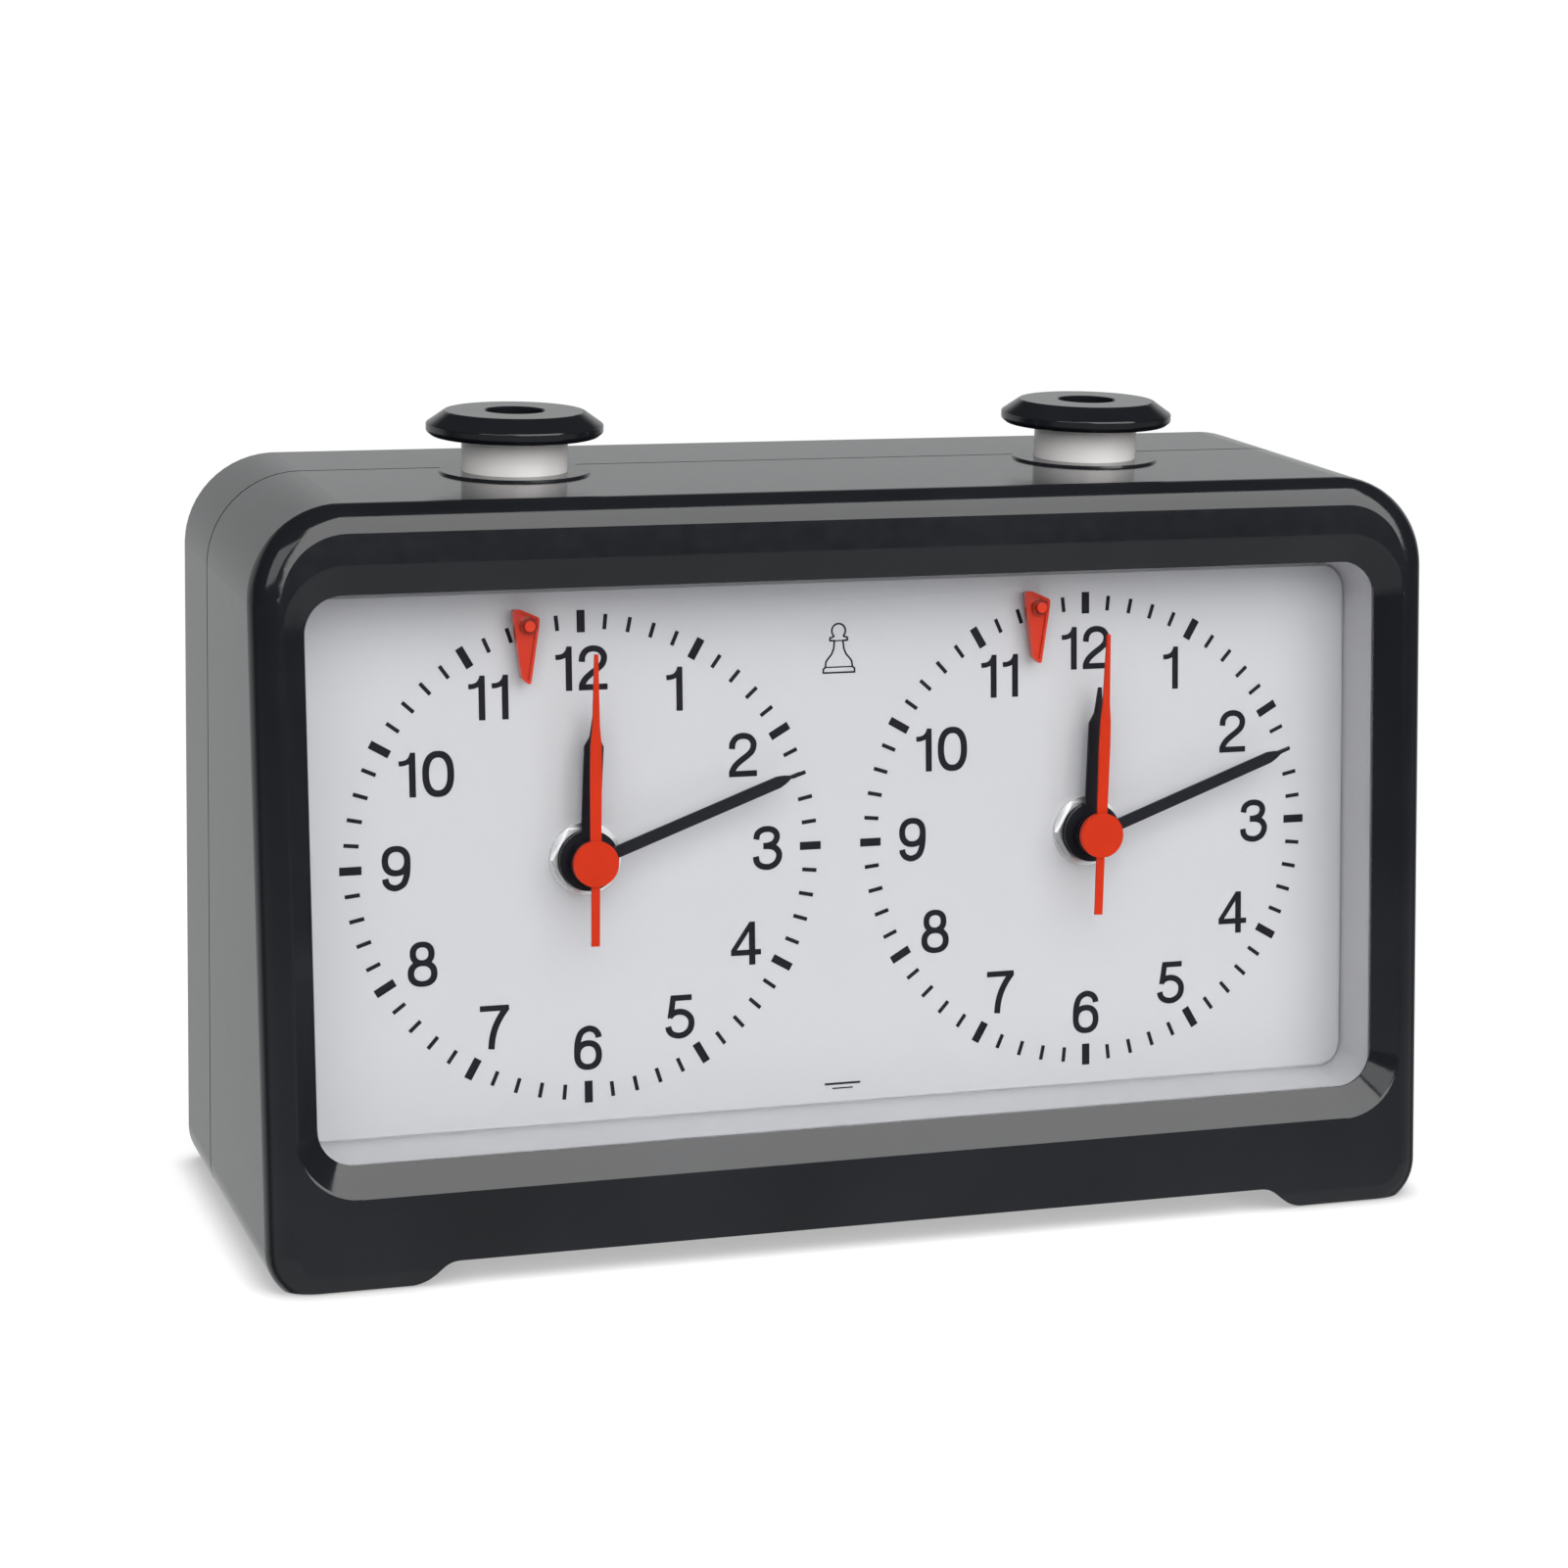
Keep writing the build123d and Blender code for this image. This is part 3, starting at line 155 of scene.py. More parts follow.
def paint(name, colour, rough, shine=0.5):
    """Thin paint on a stamped hand."""
    m, nt, bsdf, coord, _ = new_mat(name)
    bsdf.inputs["Specular IOR Level"].default_value = shine
    slow = noise(nt, coord, 90.0, 3.0)
    a = tuple(c * 0.93 for c in colour)
    b = tuple(min(1.0, c * 1.05) for c in colour)
    nt.links.new(ramp(nt, slow, 0.3, 0.7, a, b), bsdf.inputs["Base Color"])
    fine = noise(nt, coord, 2200.0, 3.0)
    nt.links.new(spread(nt, fine, rough - 0.05, rough + 0.07), bsdf.inputs["Roughness"])
    bump(nt, bsdf, fine, 0.10, 0.00003)
    return m


M = {}
M["gloss_black"] = plastic("gloss_black", (0.0075, 0.0085, 0.0105), 0.115, 0.02, 0.18, 1.5, grain=0.05, grain_scale=3000, wave=0.05)
M["satin_black"] = plastic("satin_black", (0.018, 0.018, 0.020), 0.42, 0.05, 0.15, 1.48, grain=0.35)
M["tray_white"] = plastic("tray_white", (0.50, 0.498, 0.518), 0.38, 0.04, 0.015, 1.46, grain=0.10, wave=0.03)
M["clear_window"] = None
M["flag_red"] = plastic("flag_red", (0.66, 0.040, 0.014), 0.20, 0.04, 0.06, 1.49, grain=0.05, coat=0.3)
M["hand_black"] = paint("hand_black", (0.005, 0.005, 0.009), 0.42, 0.2)
M["hand_red"] = paint("hand_red", (0.48, 0.022, 0.002), 0.46, 0.12)
M["nut_steel"] = metal("nut_steel", (0.90, 0.90, 0.91), 0.38, (1, 1, 6))
M["screw_steel"] = metal("screw_steel", (0.55, 0.56, 0.58), 0.30, (6, 1, 1))
M["stem_white"] = plastic("stem_white", (0.70, 0.685, 0.68), 0.20, 0.03, 0.01, 1.49, wave=0.02)
M["collar_black"] = plastic("collar_black", (0.010, 0.011, 0.013), 0.14, 0.03, 0.15, 1.5, grain=0.04)
M["movement_black"] = plastic("movement_black", (0.022, 0.022, 0.024), 0.50, 0.05, 0.12, 1.48, grain=0.4)
M["gear_natural"] = plastic("gear_natural", (0.74, 0.71, 0.62), 0.36, 0.05, 0.02, 1.48, grain=0.1)
M["gear_brass"] = metal("gear_brass", (0.80, 0.62, 0.30), 0.25, (1, 6, 1))
M["magnet_grey"] = plastic("magnet_grey", (0.10, 0.10, 0.105), 0.45, 0.08, 0.12, 1.6, grain=0.3)
M["coil_copper"] = metal("coil_copper", (0.72, 0.30, 0.12), 0.32, (12, 1, 1))
M["stator_steel"] = metal("stator_steel", (0.48, 0.49, 0.50), 0.36, (8, 1, 1))
M["board_green"] = plastic("board_green", (0.02, 0.12, 0.045), 0.25, 0.05, 0.15, 1.5, coat=0.3)
M["cell_sleeve"] = plastic("cell_sleeve", (0.05, 0.13, 0.36), 0.24, 0.04, 0.05, 1.5, coat=0.4)
M["contact_metal"] = metal("contact_metal", (0.78, 0.77, 0.74), 0.18, (1, 1, 6))
M["knob_black"] = plastic("knob_black", (0.016, 0.016, 0.018), 0.40, 0.05, 0.15, 1.48, grain=0.35)
M["ink"] = plastic("ink", (0.003, 0.003, 0.008), 0.60, 0.05, 0.15, 1.30, grain=0.1)


def dial_white():
    """Printed dial sheet: matt white lacquer with a faint paper-like tooth and very slow tone changes."""
    m, nt, bsdf, coord, _ = new_mat("dial_white")
    slow = noise(nt, coord, 16.0, 2.0)
    nt.links.new(ramp(nt, slow, 0.25, 0.75, (0.466, 0.464, 0.486), (0.481, 0.478, 0.500)), bsdf.inputs["Base Color"])
    fine = noise(nt, coord, 3800.0, 4.0)
    nt.links.new(spread(nt, fine, 0.48, 0.60), bsdf.inputs["Roughness"])
    bsdf.inputs["IOR"].default_value = 1.45
    bump(nt, bsdf, fine, 0.08, 0.00003)
    return m


M["dial_white"] = dial_white()


def clear_window():
    """Clear acrylic sheet that lets the lamps through to the dial, with a polished skin."""
    m, nt, bsdf, coord, out = new_mat("clear_window")
    nt.nodes.remove(bsdf)
    clear = nt.nodes.new("ShaderNodeBsdfTransparent")
    clear.inputs["Color"].default_value = (0.985, 0.99, 0.99, 1)
    gloss = nt.nodes.new("ShaderNodeBsdfGlossy")
    gloss.inputs["Color"].default_value = (1, 1, 1, 1)
    fine = noise(nt, coord, 60.0, 2.0)
    nt.links.new(spread(nt, fine, 0.015, 0.03), gloss.inputs["Roughness"])
    fr = nt.nodes.new("ShaderNodeFresnel")
    fr.inputs["IOR"].default_value = 1.18
    mix = nt.nodes.new("ShaderNodeMixShader")
    nt.links.new(fr.outputs[0], mix.inputs[0])
    nt.links.new(clear.outputs[0], mix.inputs[1])
    nt.links.new(gloss.outputs[0], mix.inputs[2])
    nt.links.new(mix.outputs[0], out.inputs[0])
    return m


M["clear_window"] = clear_window()

SLOT_OF = {s["node"]: s["material_slot"] for s in frame["record"]["subparts"]}
for node, obj in NODES.items():
    mat = M[SLOT_OF[node]]
    if not obj.material_slots:
        obj.data.materials.append(mat)
    else:
        for s in obj.material_slots:
            s.material = mat


def flag_skin(side, obj):
    """Moulded flag: glossy red, with painted shade in a darker ring round the boss on its pin, standing in for the
    shade of the groove there.
    """
    m, nt, bsdf, coord, _ = new_mat("flag_red_" + side)
    centre = obj.matrix_world.inverted() @ at(SIDES[side] - 7.75, 31.7, 2.6)
    slow = noise(nt, coord, 55.0, 3.0)
    base = ramp(nt, slow, 0.3, 0.7, (0.485, 0.027, 0.009), (0.55, 0.031, 0.011))
    away = nt.nodes.new("ShaderNodeVectorMath")
    away.operation = "DISTANCE"
    nt.links.new(coord.outputs["Object"], away.inputs[0])
    away.inputs[1].default_value = centre
    # Painted shade: the base colour is darkened in a ring round the pin's boss, where the groove would be shaded.
    painted_groove_shade = nt.nodes.new("ShaderNodeValToRGB")
    cr = painted_groove_shade.color_ramp
    cr.elements[0].position, cr.elements[0].color = 0.0, (1.0, 1.0, 1.0, 1)
    cr.elements[1].position, cr.elements[1].color = 1.0, (1.0, 1.0, 1.0, 1)
    for pos, v in ((0.40, 1.0), (0.55, 0.40), (0.66, 0.42), (0.85, 1.0)):
        e = cr.elements.new(pos)
        e.color = (v, v, v, 1)
    nt.links.new(spread(nt, away.outputs["Value"], 0.0, 1.0, 0.0, 0.0015), painted_groove_shade.inputs[0])
    mul = nt.nodes.new("ShaderNodeMix")
    mul.data_type = "RGBA"
    mul.blend_type = "MULTIPLY"
    mul.inputs[0].default_value = 1.0
    nt.links.new(base, mul.inputs[6])
    nt.links.new(painted_groove_shade.outputs[0], mul.inputs[7])
    nt.links.new(mul.outputs[2], bsdf.inputs["Base Color"])
    fine = noise(nt, coord, 420.0, 4.0)
    nt.links.new(spread(nt, fine, 0.16, 0.24), bsdf.inputs["Roughness"])
    bsdf.inputs["IOR"].default_value = 1.49
    bsdf.inputs["Coat Weight"].default_value = 0.3
    bsdf.inputs["Coat Roughness"].default_value = 0.05
    bump(nt, bsdf, noise(nt, coord, 2600.0, 3.0), 0.05, 0.00006)
    return m


for side in SIDES:
    for s in NODES["flag_" + side].material_slots:
        s.material = flag_skin(side, NODES["flag_" + side])


# ------------------------------------------------------------------ mesh helpers
def mesh_object(name, verts, faces, body, mat, smooth=False):
    me = bpy.data.meshes.new(name)
    me.from_pydata([tuple(v) for v in verts], [], faces)
    me.validate()
    bm = bmesh.new()
    bm.from_mesh(me)
    bmesh.ops.recalc_face_normals(bm, faces=bm.faces)
    bm.to_mesh(me)
    bm.free()
    if smooth:
        for p in me.polygons:
            p.use_smooth = True
    ob = bpy.data.objects.new(name, me)
    bpy.context.scene.collection.objects.link(ob)
    me.materials.append(mat)
    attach(ob, body)
    return ob


def join_shapes(name, shapes, body, mat, smooth=False):
    verts, faces = [], []
    for vs, fs in shapes:
        o = len(verts)
        verts += vs
        faces += [[i + o for i in f] for f in fs]
    return mesh_object(name, verts, faces, body, mat, smooth)


def area2(loop):
    return sum(a[0] * b[1] - b[0] * a[1] for a, b in zip(loop, loop[1:] + loop[:1]))


def print_shape(loops, place, h0=-0.004, h1=0.022):
    """Closed thin slab from outline loops (outer one first, holes after), placed by a function (x, y, h) -> point."""
    curve = bpy.data.curves.new("tmp", "CURVE")
    curve.dimensions = "2D"
    curve.fill_mode = "BOTH"
    for lp in loops:
        s = curve.splines.new("POLY")
        s.points.add(len(lp) - 1)
        for p, (x, y) in zip(s.points, lp):
            p.co = (x, y, 0, 1)
        s.use_cyclic_u = True
    ob = bpy.data.objects.new("tmp", curve)
    bpy.context.scene.collection.objects.link(ob)
    dg = bpy.context.evaluated_depsgraph_get()
    me = bpy.data.meshes.new_from_object(ob.evaluated_get(dg))
    bm = bmesh.new()
    bm.from_mesh(me)
    bmesh.ops.remove_doubles(bm, verts=bm.verts, dist=1e-5)
    bmesh.ops.triangulate(bm, faces=bm.faces)
    bm.verts.ensure_lookup_table()
    flat = [(v.co.x, v.co.y) for v in bm.verts]
    tris = [[v.index for v in f.verts] for f in bm.faces]
    rim = [(e.verts[0].index, e.verts[1].index) for e in bm.edges if e.is_boundary]
    bm.free()
    bpy.data.objects.remove(ob)
    bpy.data.curves.remove(curve)
    bpy.data.meshes.remove(me)
    n = len(flat)
    verts = [place(x, y, h0) for x, y in flat] + [place(x, y, h1) for x, y in flat]
    faces = [list(reversed(t)) for t in tris] + [[i + n for i in t] for t in tris]
    faces += [[a, b, b + n, a + n] for a, b in rim]
    return verts, faces


# ------------------------------------------------------------------ printing on the dial
# Outlines of plain sans-serif digits, in units of the type size.
GLYPHS = {
    "0": [
        [(0.1648, -0.0143), (0.1445, -0.0126), (0.1241, -0.0084), (0.1058, -0.0019), (0.0875, 0.0078), (0.0712, 0.0197), (0.057, 0.0335), (0.043, 0.0509), (0.0315, 0.0692), (0.0215, 0.0895), (0.013, 0.1119), (0.006, 0.1363), (0.0007, 0.1628), (-0.0028, 0.1892), (-0.005, 0.2198), (-0.0049, 0.291), (-0.0028, 0.3195), (0.0007, 0.3459), (0.0056, 0.3703), (0.0122, 0.3943), (0.0198, 0.4151), (0.0293, 0.4354), (0.0402, 0.4538), (0.0524, 0.47), (0.0651, 0.4835), (0.0794, 0.4954), (0.0956, 0.5056), (0.1119, 0.5131), (0.1282, 0.5182), (0.1465, 0.5216), (0.1648, 0.523), (0.1892, 0.5228), (0.2096, 0.5208), (0.2299, 0.5162), (0.2482, 0.5092), (0.2645, 0.5003), (0.2808, 0.4881), (0.2951, 0.4741), (0.3093, 0.456), (0.3206, 0.4375), (0.3304, 0.4171), (0.3387, 0.3948), (0.3454, 0.3703), (0.3506, 0.3439), (0.356, 0.2889), (0.3559, 0.2177), (0.3538, 0.1892), (0.3503, 0.1628), (0.3454, 0.1384), (0.3393, 0.116), (0.3317, 0.0947), (0.3227, 0.0753), (0.3121, 0.057), (0.3003, 0.0407), (0.2869, 0.0262), (0.2729, 0.0142), (0.2584, 0.0047), (0.2421, -0.0032), (0.2259, -0.0087), (0.2075, -0.0124), (0.1892, -0.0141)],
        [(0.16, 0.0651), (0.1872, 0.0647), (0.2075, 0.0694), (0.2259, 0.0798), (0.2421, 0.0964), (0.2564, 0.1198), (0.2666, 0.1465), (0.2741, 0.1791), (0.2784, 0.2177), (0.2791, 0.2706), (0.2766, 0.3113), (0.2704, 0.348), (0.2601, 0.3805), (0.246, 0.407), (0.2381, 0.4173), (0.2279, 0.4272), (0.2177, 0.4344), (0.2075, 0.4393), (0.1953, 0.4429), (0.1831, 0.4443), (0.1587, 0.4434), (0.1404, 0.438), (0.1221, 0.4264), (0.1064, 0.409), (0.0936, 0.3866), (0.0834, 0.3589), (0.0766, 0.3276), (0.0727, 0.291), (0.0718, 0.2401), (0.0742, 0.1994), (0.0801, 0.1628), (0.0893, 0.1323), (0.1023, 0.1058), (0.1099, 0.0951), (0.1186, 0.0855), (0.1282, 0.0776), (0.1384, 0.0716), (0.1485, 0.0676)],
    ],
    "1": [
        [(0.1119, -0.005), (0.1089, 0), (0.1089, 0.3805), (0.1078, 0.3823), (0.0834, 0.3717), (0.0529, 0.3635), (0.0346, 0.3613), (-0.002, 0.3602), (-0.0039, 0.3622), (-0.0073, 0.4192), (-0.0061, 0.4205), (-0.002, 0.4211), (0.0305, 0.4222), (0.0427, 0.4237), (0.0671, 0.4308), (0.0834, 0.439), (0.0977, 0.4534), (0.1114, 0.4741), (0.1155, 0.4843), (0.1235, 0.5128), (0.1262, 0.5179), (0.1384, 0.5143), (0.1791, 0.5142), (0.1818, 0.5128), (0.1836, 0.5087), (0.1836, 0), (0.1818, -0.0041), (0.1791, -0.0055)],
    ],
    "2": [
        [(-0.002, -0.0052), (-0.0041, -0.0038), (-0.0056, 0), (-0.0055, 0.061), (-0.002, 0.0654), (0.004, 0.0834), (0.0132, 0.1038), (0.0298, 0.1323), (0.0509, 0.1591), (0.0814, 0.1882), (0.1302, 0.2275), (0.1872, 0.2674), (0.2137, 0.2892), (0.2285, 0.3032), (0.2383, 0.3154), (0.2468, 0.3317), (0.2525, 0.35), (0.2551, 0.3703), (0.2539, 0.3846), (0.2481, 0.3988), (0.236, 0.4168), (0.2238, 0.4282), (0.2075, 0.4362), (0.1872, 0.4418), (0.1689, 0.444), (0.1485, 0.4428), (0.1302, 0.4388), (0.1119, 0.4314), (0.0997, 0.4219), (0.0877, 0.407), (0.0784, 0.3907), (0.0746, 0.3805), (0.0701, 0.3337), (0.0679, 0.3235), (-0.002, 0.3321), (-0.0036, 0.3337), (-0.0035, 0.3357), (0.0015, 0.3886), (0.0067, 0.409), (0.0142, 0.4262), (0.0326, 0.4559), (0.0425, 0.468), (0.0549, 0.4803), (0.0773, 0.496), (0.0895, 0.5019), (0.1078, 0.5086), (0.1241, 0.5128), (0.1445, 0.5162), (0.1648, 0.5173), (0.1791, 0.5168), (0.1994, 0.514), (0.2157, 0.5104), (0.2482, 0.4984), (0.2605, 0.4918), (0.2727, 0.4832), (0.2921, 0.4639), (0.3104, 0.4375), (0.3225, 0.411), (0.3277, 0.3866), (0.3279, 0.3602), (0.3235, 0.3317), (0.3151, 0.3052), (0.3073, 0.2882), (0.2992, 0.2747), (0.2889, 0.2609), (0.2772, 0.2482), (0.232, 0.2094), (0.1709, 0.1665), (0.1218, 0.1262), (0.1078, 0.1128), (0.0966, 0.0997), (0.0855, 0.0834), (0.0768, 0.0671), (0.0794, 0.0656), (0.3235, 0.0656), (0.3276, 0.0632), (0.3285, 0.061), (0.3282, -0.002), (0.3256, -0.005), (0.3215, -0.0056)],
    ],
    "3": [
        [(0.1424, -0.0102), (0.1099, -0.0051), (0.0773, 0.0048), (0.0529, 0.0178), (0.0306, 0.0366), (0.0122, 0.0594), (0.0039, 0.0733), (-0.0016, 0.0855), (-0.007, 0.1058), (-0.0122, 0.1506), (-0.0103, 0.1526), (0.059, 0.1636), (0.0615, 0.1526), (0.0657, 0.116), (0.0675, 0.1099), (0.0734, 0.0997), (0.0834, 0.0874), (0.0956, 0.0774), (0.1078, 0.0715), (0.1262, 0.0664), (0.1587, 0.0621), (0.1709, 0.0624), (0.1831, 0.0645), (0.1979, 0.0692), (0.2157, 0.0773), (0.2279, 0.0848), (0.2381, 0.0935), (0.2462, 0.1036), (0.2544, 0.1171), (0.2613, 0.1323), (0.2656, 0.1465), (0.2675, 0.1607), (0.2668, 0.173), (0.2642, 0.1831), (0.2593, 0.1933), (0.2491, 0.2075), (0.2388, 0.2177), (0.2297, 0.2238), (0.2157, 0.2294), (0.1953, 0.2349), (0.1689, 0.2398), (0.1139, 0.2411), (0.1129, 0.2421), (0.114, 0.2788), (0.1131, 0.3154), (0.1138, 0.3174), (0.116, 0.3178), (0.1526, 0.3176), (0.1648, 0.3191), (0.1953, 0.327), (0.2157, 0.3361), (0.2222, 0.3418), (0.2287, 0.35), (0.2391, 0.3703), (0.2427, 0.3866), (0.2426, 0.3948), (0.2409, 0.4029), (0.2344, 0.4151), (0.226, 0.4253), (0.2177, 0.4324), (0.2079, 0.4375), (0.1933, 0.4419), (0.175, 0.4449), (0.1567, 0.4457), (0.1404, 0.4445), (0.1241, 0.4414), (0.1078, 0.4353), (0.0936, 0.4266), (0.0813, 0.4151), (0.0771, 0.409), (0.0751, 0.4029), (0.0686, 0.3642), (0.0651, 0.3532), (-0.0039, 0.3683), (-0.0049, 0.3703), (0.0031, 0.4171), (0.0096, 0.4375), (0.016, 0.4497), (0.0232, 0.4599), (0.0433, 0.4802), (0.057, 0.4904), (0.0712, 0.4989), (0.0997, 0.5106), (0.118, 0.5151), (0.1363, 0.5178), (0.173, 0.5185), (0.1953, 0.516), (0.2157, 0.5118), (0.236, 0.5051), (0.2534, 0.4965), (0.2686, 0.4856), (0.2828, 0.4718), (0.2971, 0.4531), (0.3067, 0.4354), (0.3125, 0.4192), (0.3156, 0.4009), (0.3158, 0.3825), (0.3124, 0.3602), (0.3059, 0.3398), (0.2971, 0.3215), (0.2869, 0.3055), (0.2709, 0.2869), (0.2705, 0.2849), (0.2849, 0.2747), (0.3012, 0.2593), (0.3154, 0.2415), (0.3261, 0.2238), (0.3337, 0.2064), (0.3383, 0.1892), (0.3406, 0.1709), (0.3404, 0.1526), (0.335, 0.1221), (0.3296, 0.1058), (0.3215, 0.0875), (0.3125, 0.0712), (0.3014, 0.0549), (0.2909, 0.0427), (0.28, 0.0326), (0.2665, 0.0224), (0.2482, 0.0116), (0.2299, 0.0031), (0.2116, -0.0036), (0.1933, -0.0082), (0.177, -0.0106), (0.1628, -0.0113)],
    ],
    "4": [
        [(0.2137, -0.005), (0.2106, 0), (0.2103, 0.1119), (-0.002, 0.1128), (-0.0041, 0.1142), (-0.0056, 0.118), (-0.0056, 0.1791), (-0.004, 0.1831), (0.2175, 0.5128), (0.2218, 0.5143), (0.2808, 0.5142), (0.2836, 0.5128), (0.2854, 0.5087), (0.2854, 0.1811), (0.2869, 0.1796), (0.348, 0.1796), (0.352, 0.1782), (0.3541, 0.173), (0.3541, 0.118), (0.3523, 0.1139), (0.348, 0.1124), (0.2859, 0.1119), (0.2854, 0), (0.2836, -0.0041), (0.2788, -0.0056)],
        [(0.0664, 0.1811), (0.0692, 0.1796), (0.2075, 0.1796), (0.2106, 0.1811), (0.2106, 0.3927), (0.2096, 0.3947)],
    ],
    "5": [
        [(0.1363, -0.0102), (0.1058, -0.0049), (0.0753, 0.0047), (0.0549, 0.0147), (0.0342, 0.0305), (0.0157, 0.0509), (0.0001, 0.0753), (-0.007, 0.0956), (-0.0134, 0.1302), (-0.0115, 0.1323), (0.057, 0.1482), (0.064, 0.1139), (0.0668, 0.1058), (0.0787, 0.0895), (0.0916, 0.0782), (0.1099, 0.07), (0.1363, 0.0636), (0.1567, 0.0621), (0.1791, 0.0646), (0.1974, 0.071), (0.2157, 0.0816), (0.2333, 0.0956), (0.2454, 0.1099), (0.2532, 0.1262), (0.2593, 0.1485), (0.262, 0.1709), (0.2607, 0.1933), (0.2574, 0.2075), (0.2523, 0.2201), (0.2447, 0.232), (0.2337, 0.2442), (0.2218, 0.2544), (0.2075, 0.2635), (0.1933, 0.2694), (0.177, 0.2736), (0.1587, 0.2759), (0.1424, 0.2759), (0.1262, 0.2732), (0.1099, 0.268), (0.1017, 0.2641), (0.0956, 0.2594), (0.0651, 0.2275), (0.0509, 0.2411), (0.0488, 0.2417), (0.0203, 0.236), (0.016, 0.2381), (0.0148, 0.2421), (0.0193, 0.2727), (0.014, 0.2788), (0.0213, 0.2869), (0.0217, 0.2889), (0.0548, 0.5107), (0.057, 0.5134), (0.061, 0.5143), (0.3012, 0.5142), (0.3039, 0.5128), (0.3057, 0.5087), (0.3057, 0.4497), (0.3033, 0.4456), (0.3012, 0.4447), (0.116, 0.4446), (0.1132, 0.4436), (0.1003, 0.3439), (0.1017, 0.3426), (0.1221, 0.3471), (0.1465, 0.3494), (0.1648, 0.3489), (0.1852, 0.3465), (0.2055, 0.3422), (0.2238, 0.3363), (0.2392, 0.3296), (0.2566, 0.3195), (0.2727, 0.3075), (0.2885, 0.293), (0.3027, 0.2767), (0.3137, 0.2605), (0.3228, 0.2421), (0.3296, 0.2218), (0.3333, 0.2035), (0.3352, 0.1831), (0.3349, 0.1628), (0.3326, 0.1424), (0.3279, 0.1201), (0.3216, 0.0997), (0.3155, 0.0855), (0.3077, 0.0712), (0.299, 0.059), (0.2849, 0.0436), (0.2686, 0.0295), (0.2523, 0.018), (0.2315, 0.0061), (0.2137, -0.0015), (0.1953, -0.0068), (0.177, -0.01), (0.1567, -0.0112)],
    ],
    "6": [
        [(0.1343, -0.0103), (0.1139, -0.0062), (0.0955, 0), (0.0773, 0.009), (0.061, 0.0202), (0.0468, 0.0333), (0.0346, 0.048), (0.0239, 0.0651), (0.0155, 0.0834), (0.0066, 0.1139), (0.0021, 0.1506), (0.0022, 0.2401), (0.0079, 0.3113), (0.0161, 0.3581), (0.0311, 0.407), (0.045, 0.4375), (0.054, 0.4517), (0.0651, 0.4653), (0.0773, 0.4768), (0.0916, 0.4873), (0.1119, 0.4992), (0.1282, 0.5065), (0.1485, 0.5134), (0.1648, 0.5169), (0.1811, 0.5181), (0.1974, 0.517), (0.2239, 0.5107), (0.2503, 0.4998), (0.2706, 0.4876), (0.2889, 0.4709), (0.3067, 0.4477), (0.3189, 0.4253), (0.324, 0.407), (0.3275, 0.3764), (0.3262, 0.3744), (0.2564, 0.3621), (0.2505, 0.3988), (0.2417, 0.4131), (0.232, 0.4245), (0.2218, 0.432), (0.2014, 0.441), (0.1852, 0.4446), (0.173, 0.444), (0.1546, 0.4382), (0.1369, 0.4293), (0.1241, 0.4204), (0.1139, 0.4096), (0.1063, 0.3968), (0.0987, 0.3785), (0.0892, 0.348), (0.0844, 0.3276), (0.0855, 0.3262), (0.1099, 0.3357), (0.1343, 0.3409), (0.1607, 0.3428), (0.1892, 0.3418), (0.2116, 0.3381), (0.234, 0.3311), (0.2536, 0.3215), (0.2706, 0.3096), (0.2869, 0.294), (0.3001, 0.2767), (0.3113, 0.2564), (0.3191, 0.236), (0.3247, 0.2137), (0.3278, 0.1892), (0.3285, 0.1567), (0.3267, 0.1302), (0.3194, 0.0956), (0.3068, 0.0651), (0.2981, 0.0509), (0.2887, 0.0387), (0.2769, 0.0265), (0.2645, 0.0163), (0.2523, 0.0084), (0.2381, 0.0012), (0.2238, -0.0041), (0.2075, -0.0084), (0.173, -0.0121)],
        [(0.1456, 0.061), (0.1648, 0.0595), (0.1852, 0.0611), (0.2014, 0.0657), (0.2157, 0.0733), (0.2279, 0.0836), (0.2389, 0.0977), (0.247, 0.1139), (0.2524, 0.1323), (0.2551, 0.1546), (0.2546, 0.1831), (0.2507, 0.2055), (0.2439, 0.2238), (0.2339, 0.2401), (0.2198, 0.2544), (0.2035, 0.2641), (0.1872, 0.2692), (0.1689, 0.2711), (0.1485, 0.2701), (0.1323, 0.2661), (0.116, 0.258), (0.1019, 0.2462), (0.0916, 0.2327), (0.0832, 0.2157), (0.0781, 0.1974), (0.0755, 0.175), (0.0761, 0.1465), (0.0802, 0.1241), (0.0872, 0.1058), (0.0977, 0.0893), (0.1119, 0.0755), (0.1282, 0.0662)],
    ],
    "7": [
        [(0.1445, -0.0083), (0.0855, -0.002), (0.0822, 0), (0.0894, 0.0814), (0.0964, 0.1282), (0.1073, 0.177), (0.1185, 0.2177), (0.1313, 0.2564), (0.1433, 0.2869), (0.1611, 0.3256), (0.1847, 0.3703), (0.2051, 0.4049), (0.2313, 0.4436), (0.2299, 0.4446), (-0.002, 0.445), (-0.0056, 0.4497), (-0.0052, 0.5107), (-0.0038, 0.5128), (0, 0.5143), (0.3276, 0.5139), (0.3296, 0.5125), (0.3312, 0.5087), (0.3312, 0.47), (0.3382, 0.4639), (0.3375, 0.4619), (0.3319, 0.4538), (0.3305, 0.4477), (0.3245, 0.4436), (0.2987, 0.409), (0.2641, 0.3581), (0.2325, 0.3012), (0.209, 0.2503), (0.199, 0.2238), (0.188, 0.1892), (0.1714, 0.1221), (0.1647, 0.0814), (0.156, -0.0081), (0.1546, -0.0094)],
    ],
    "8": [
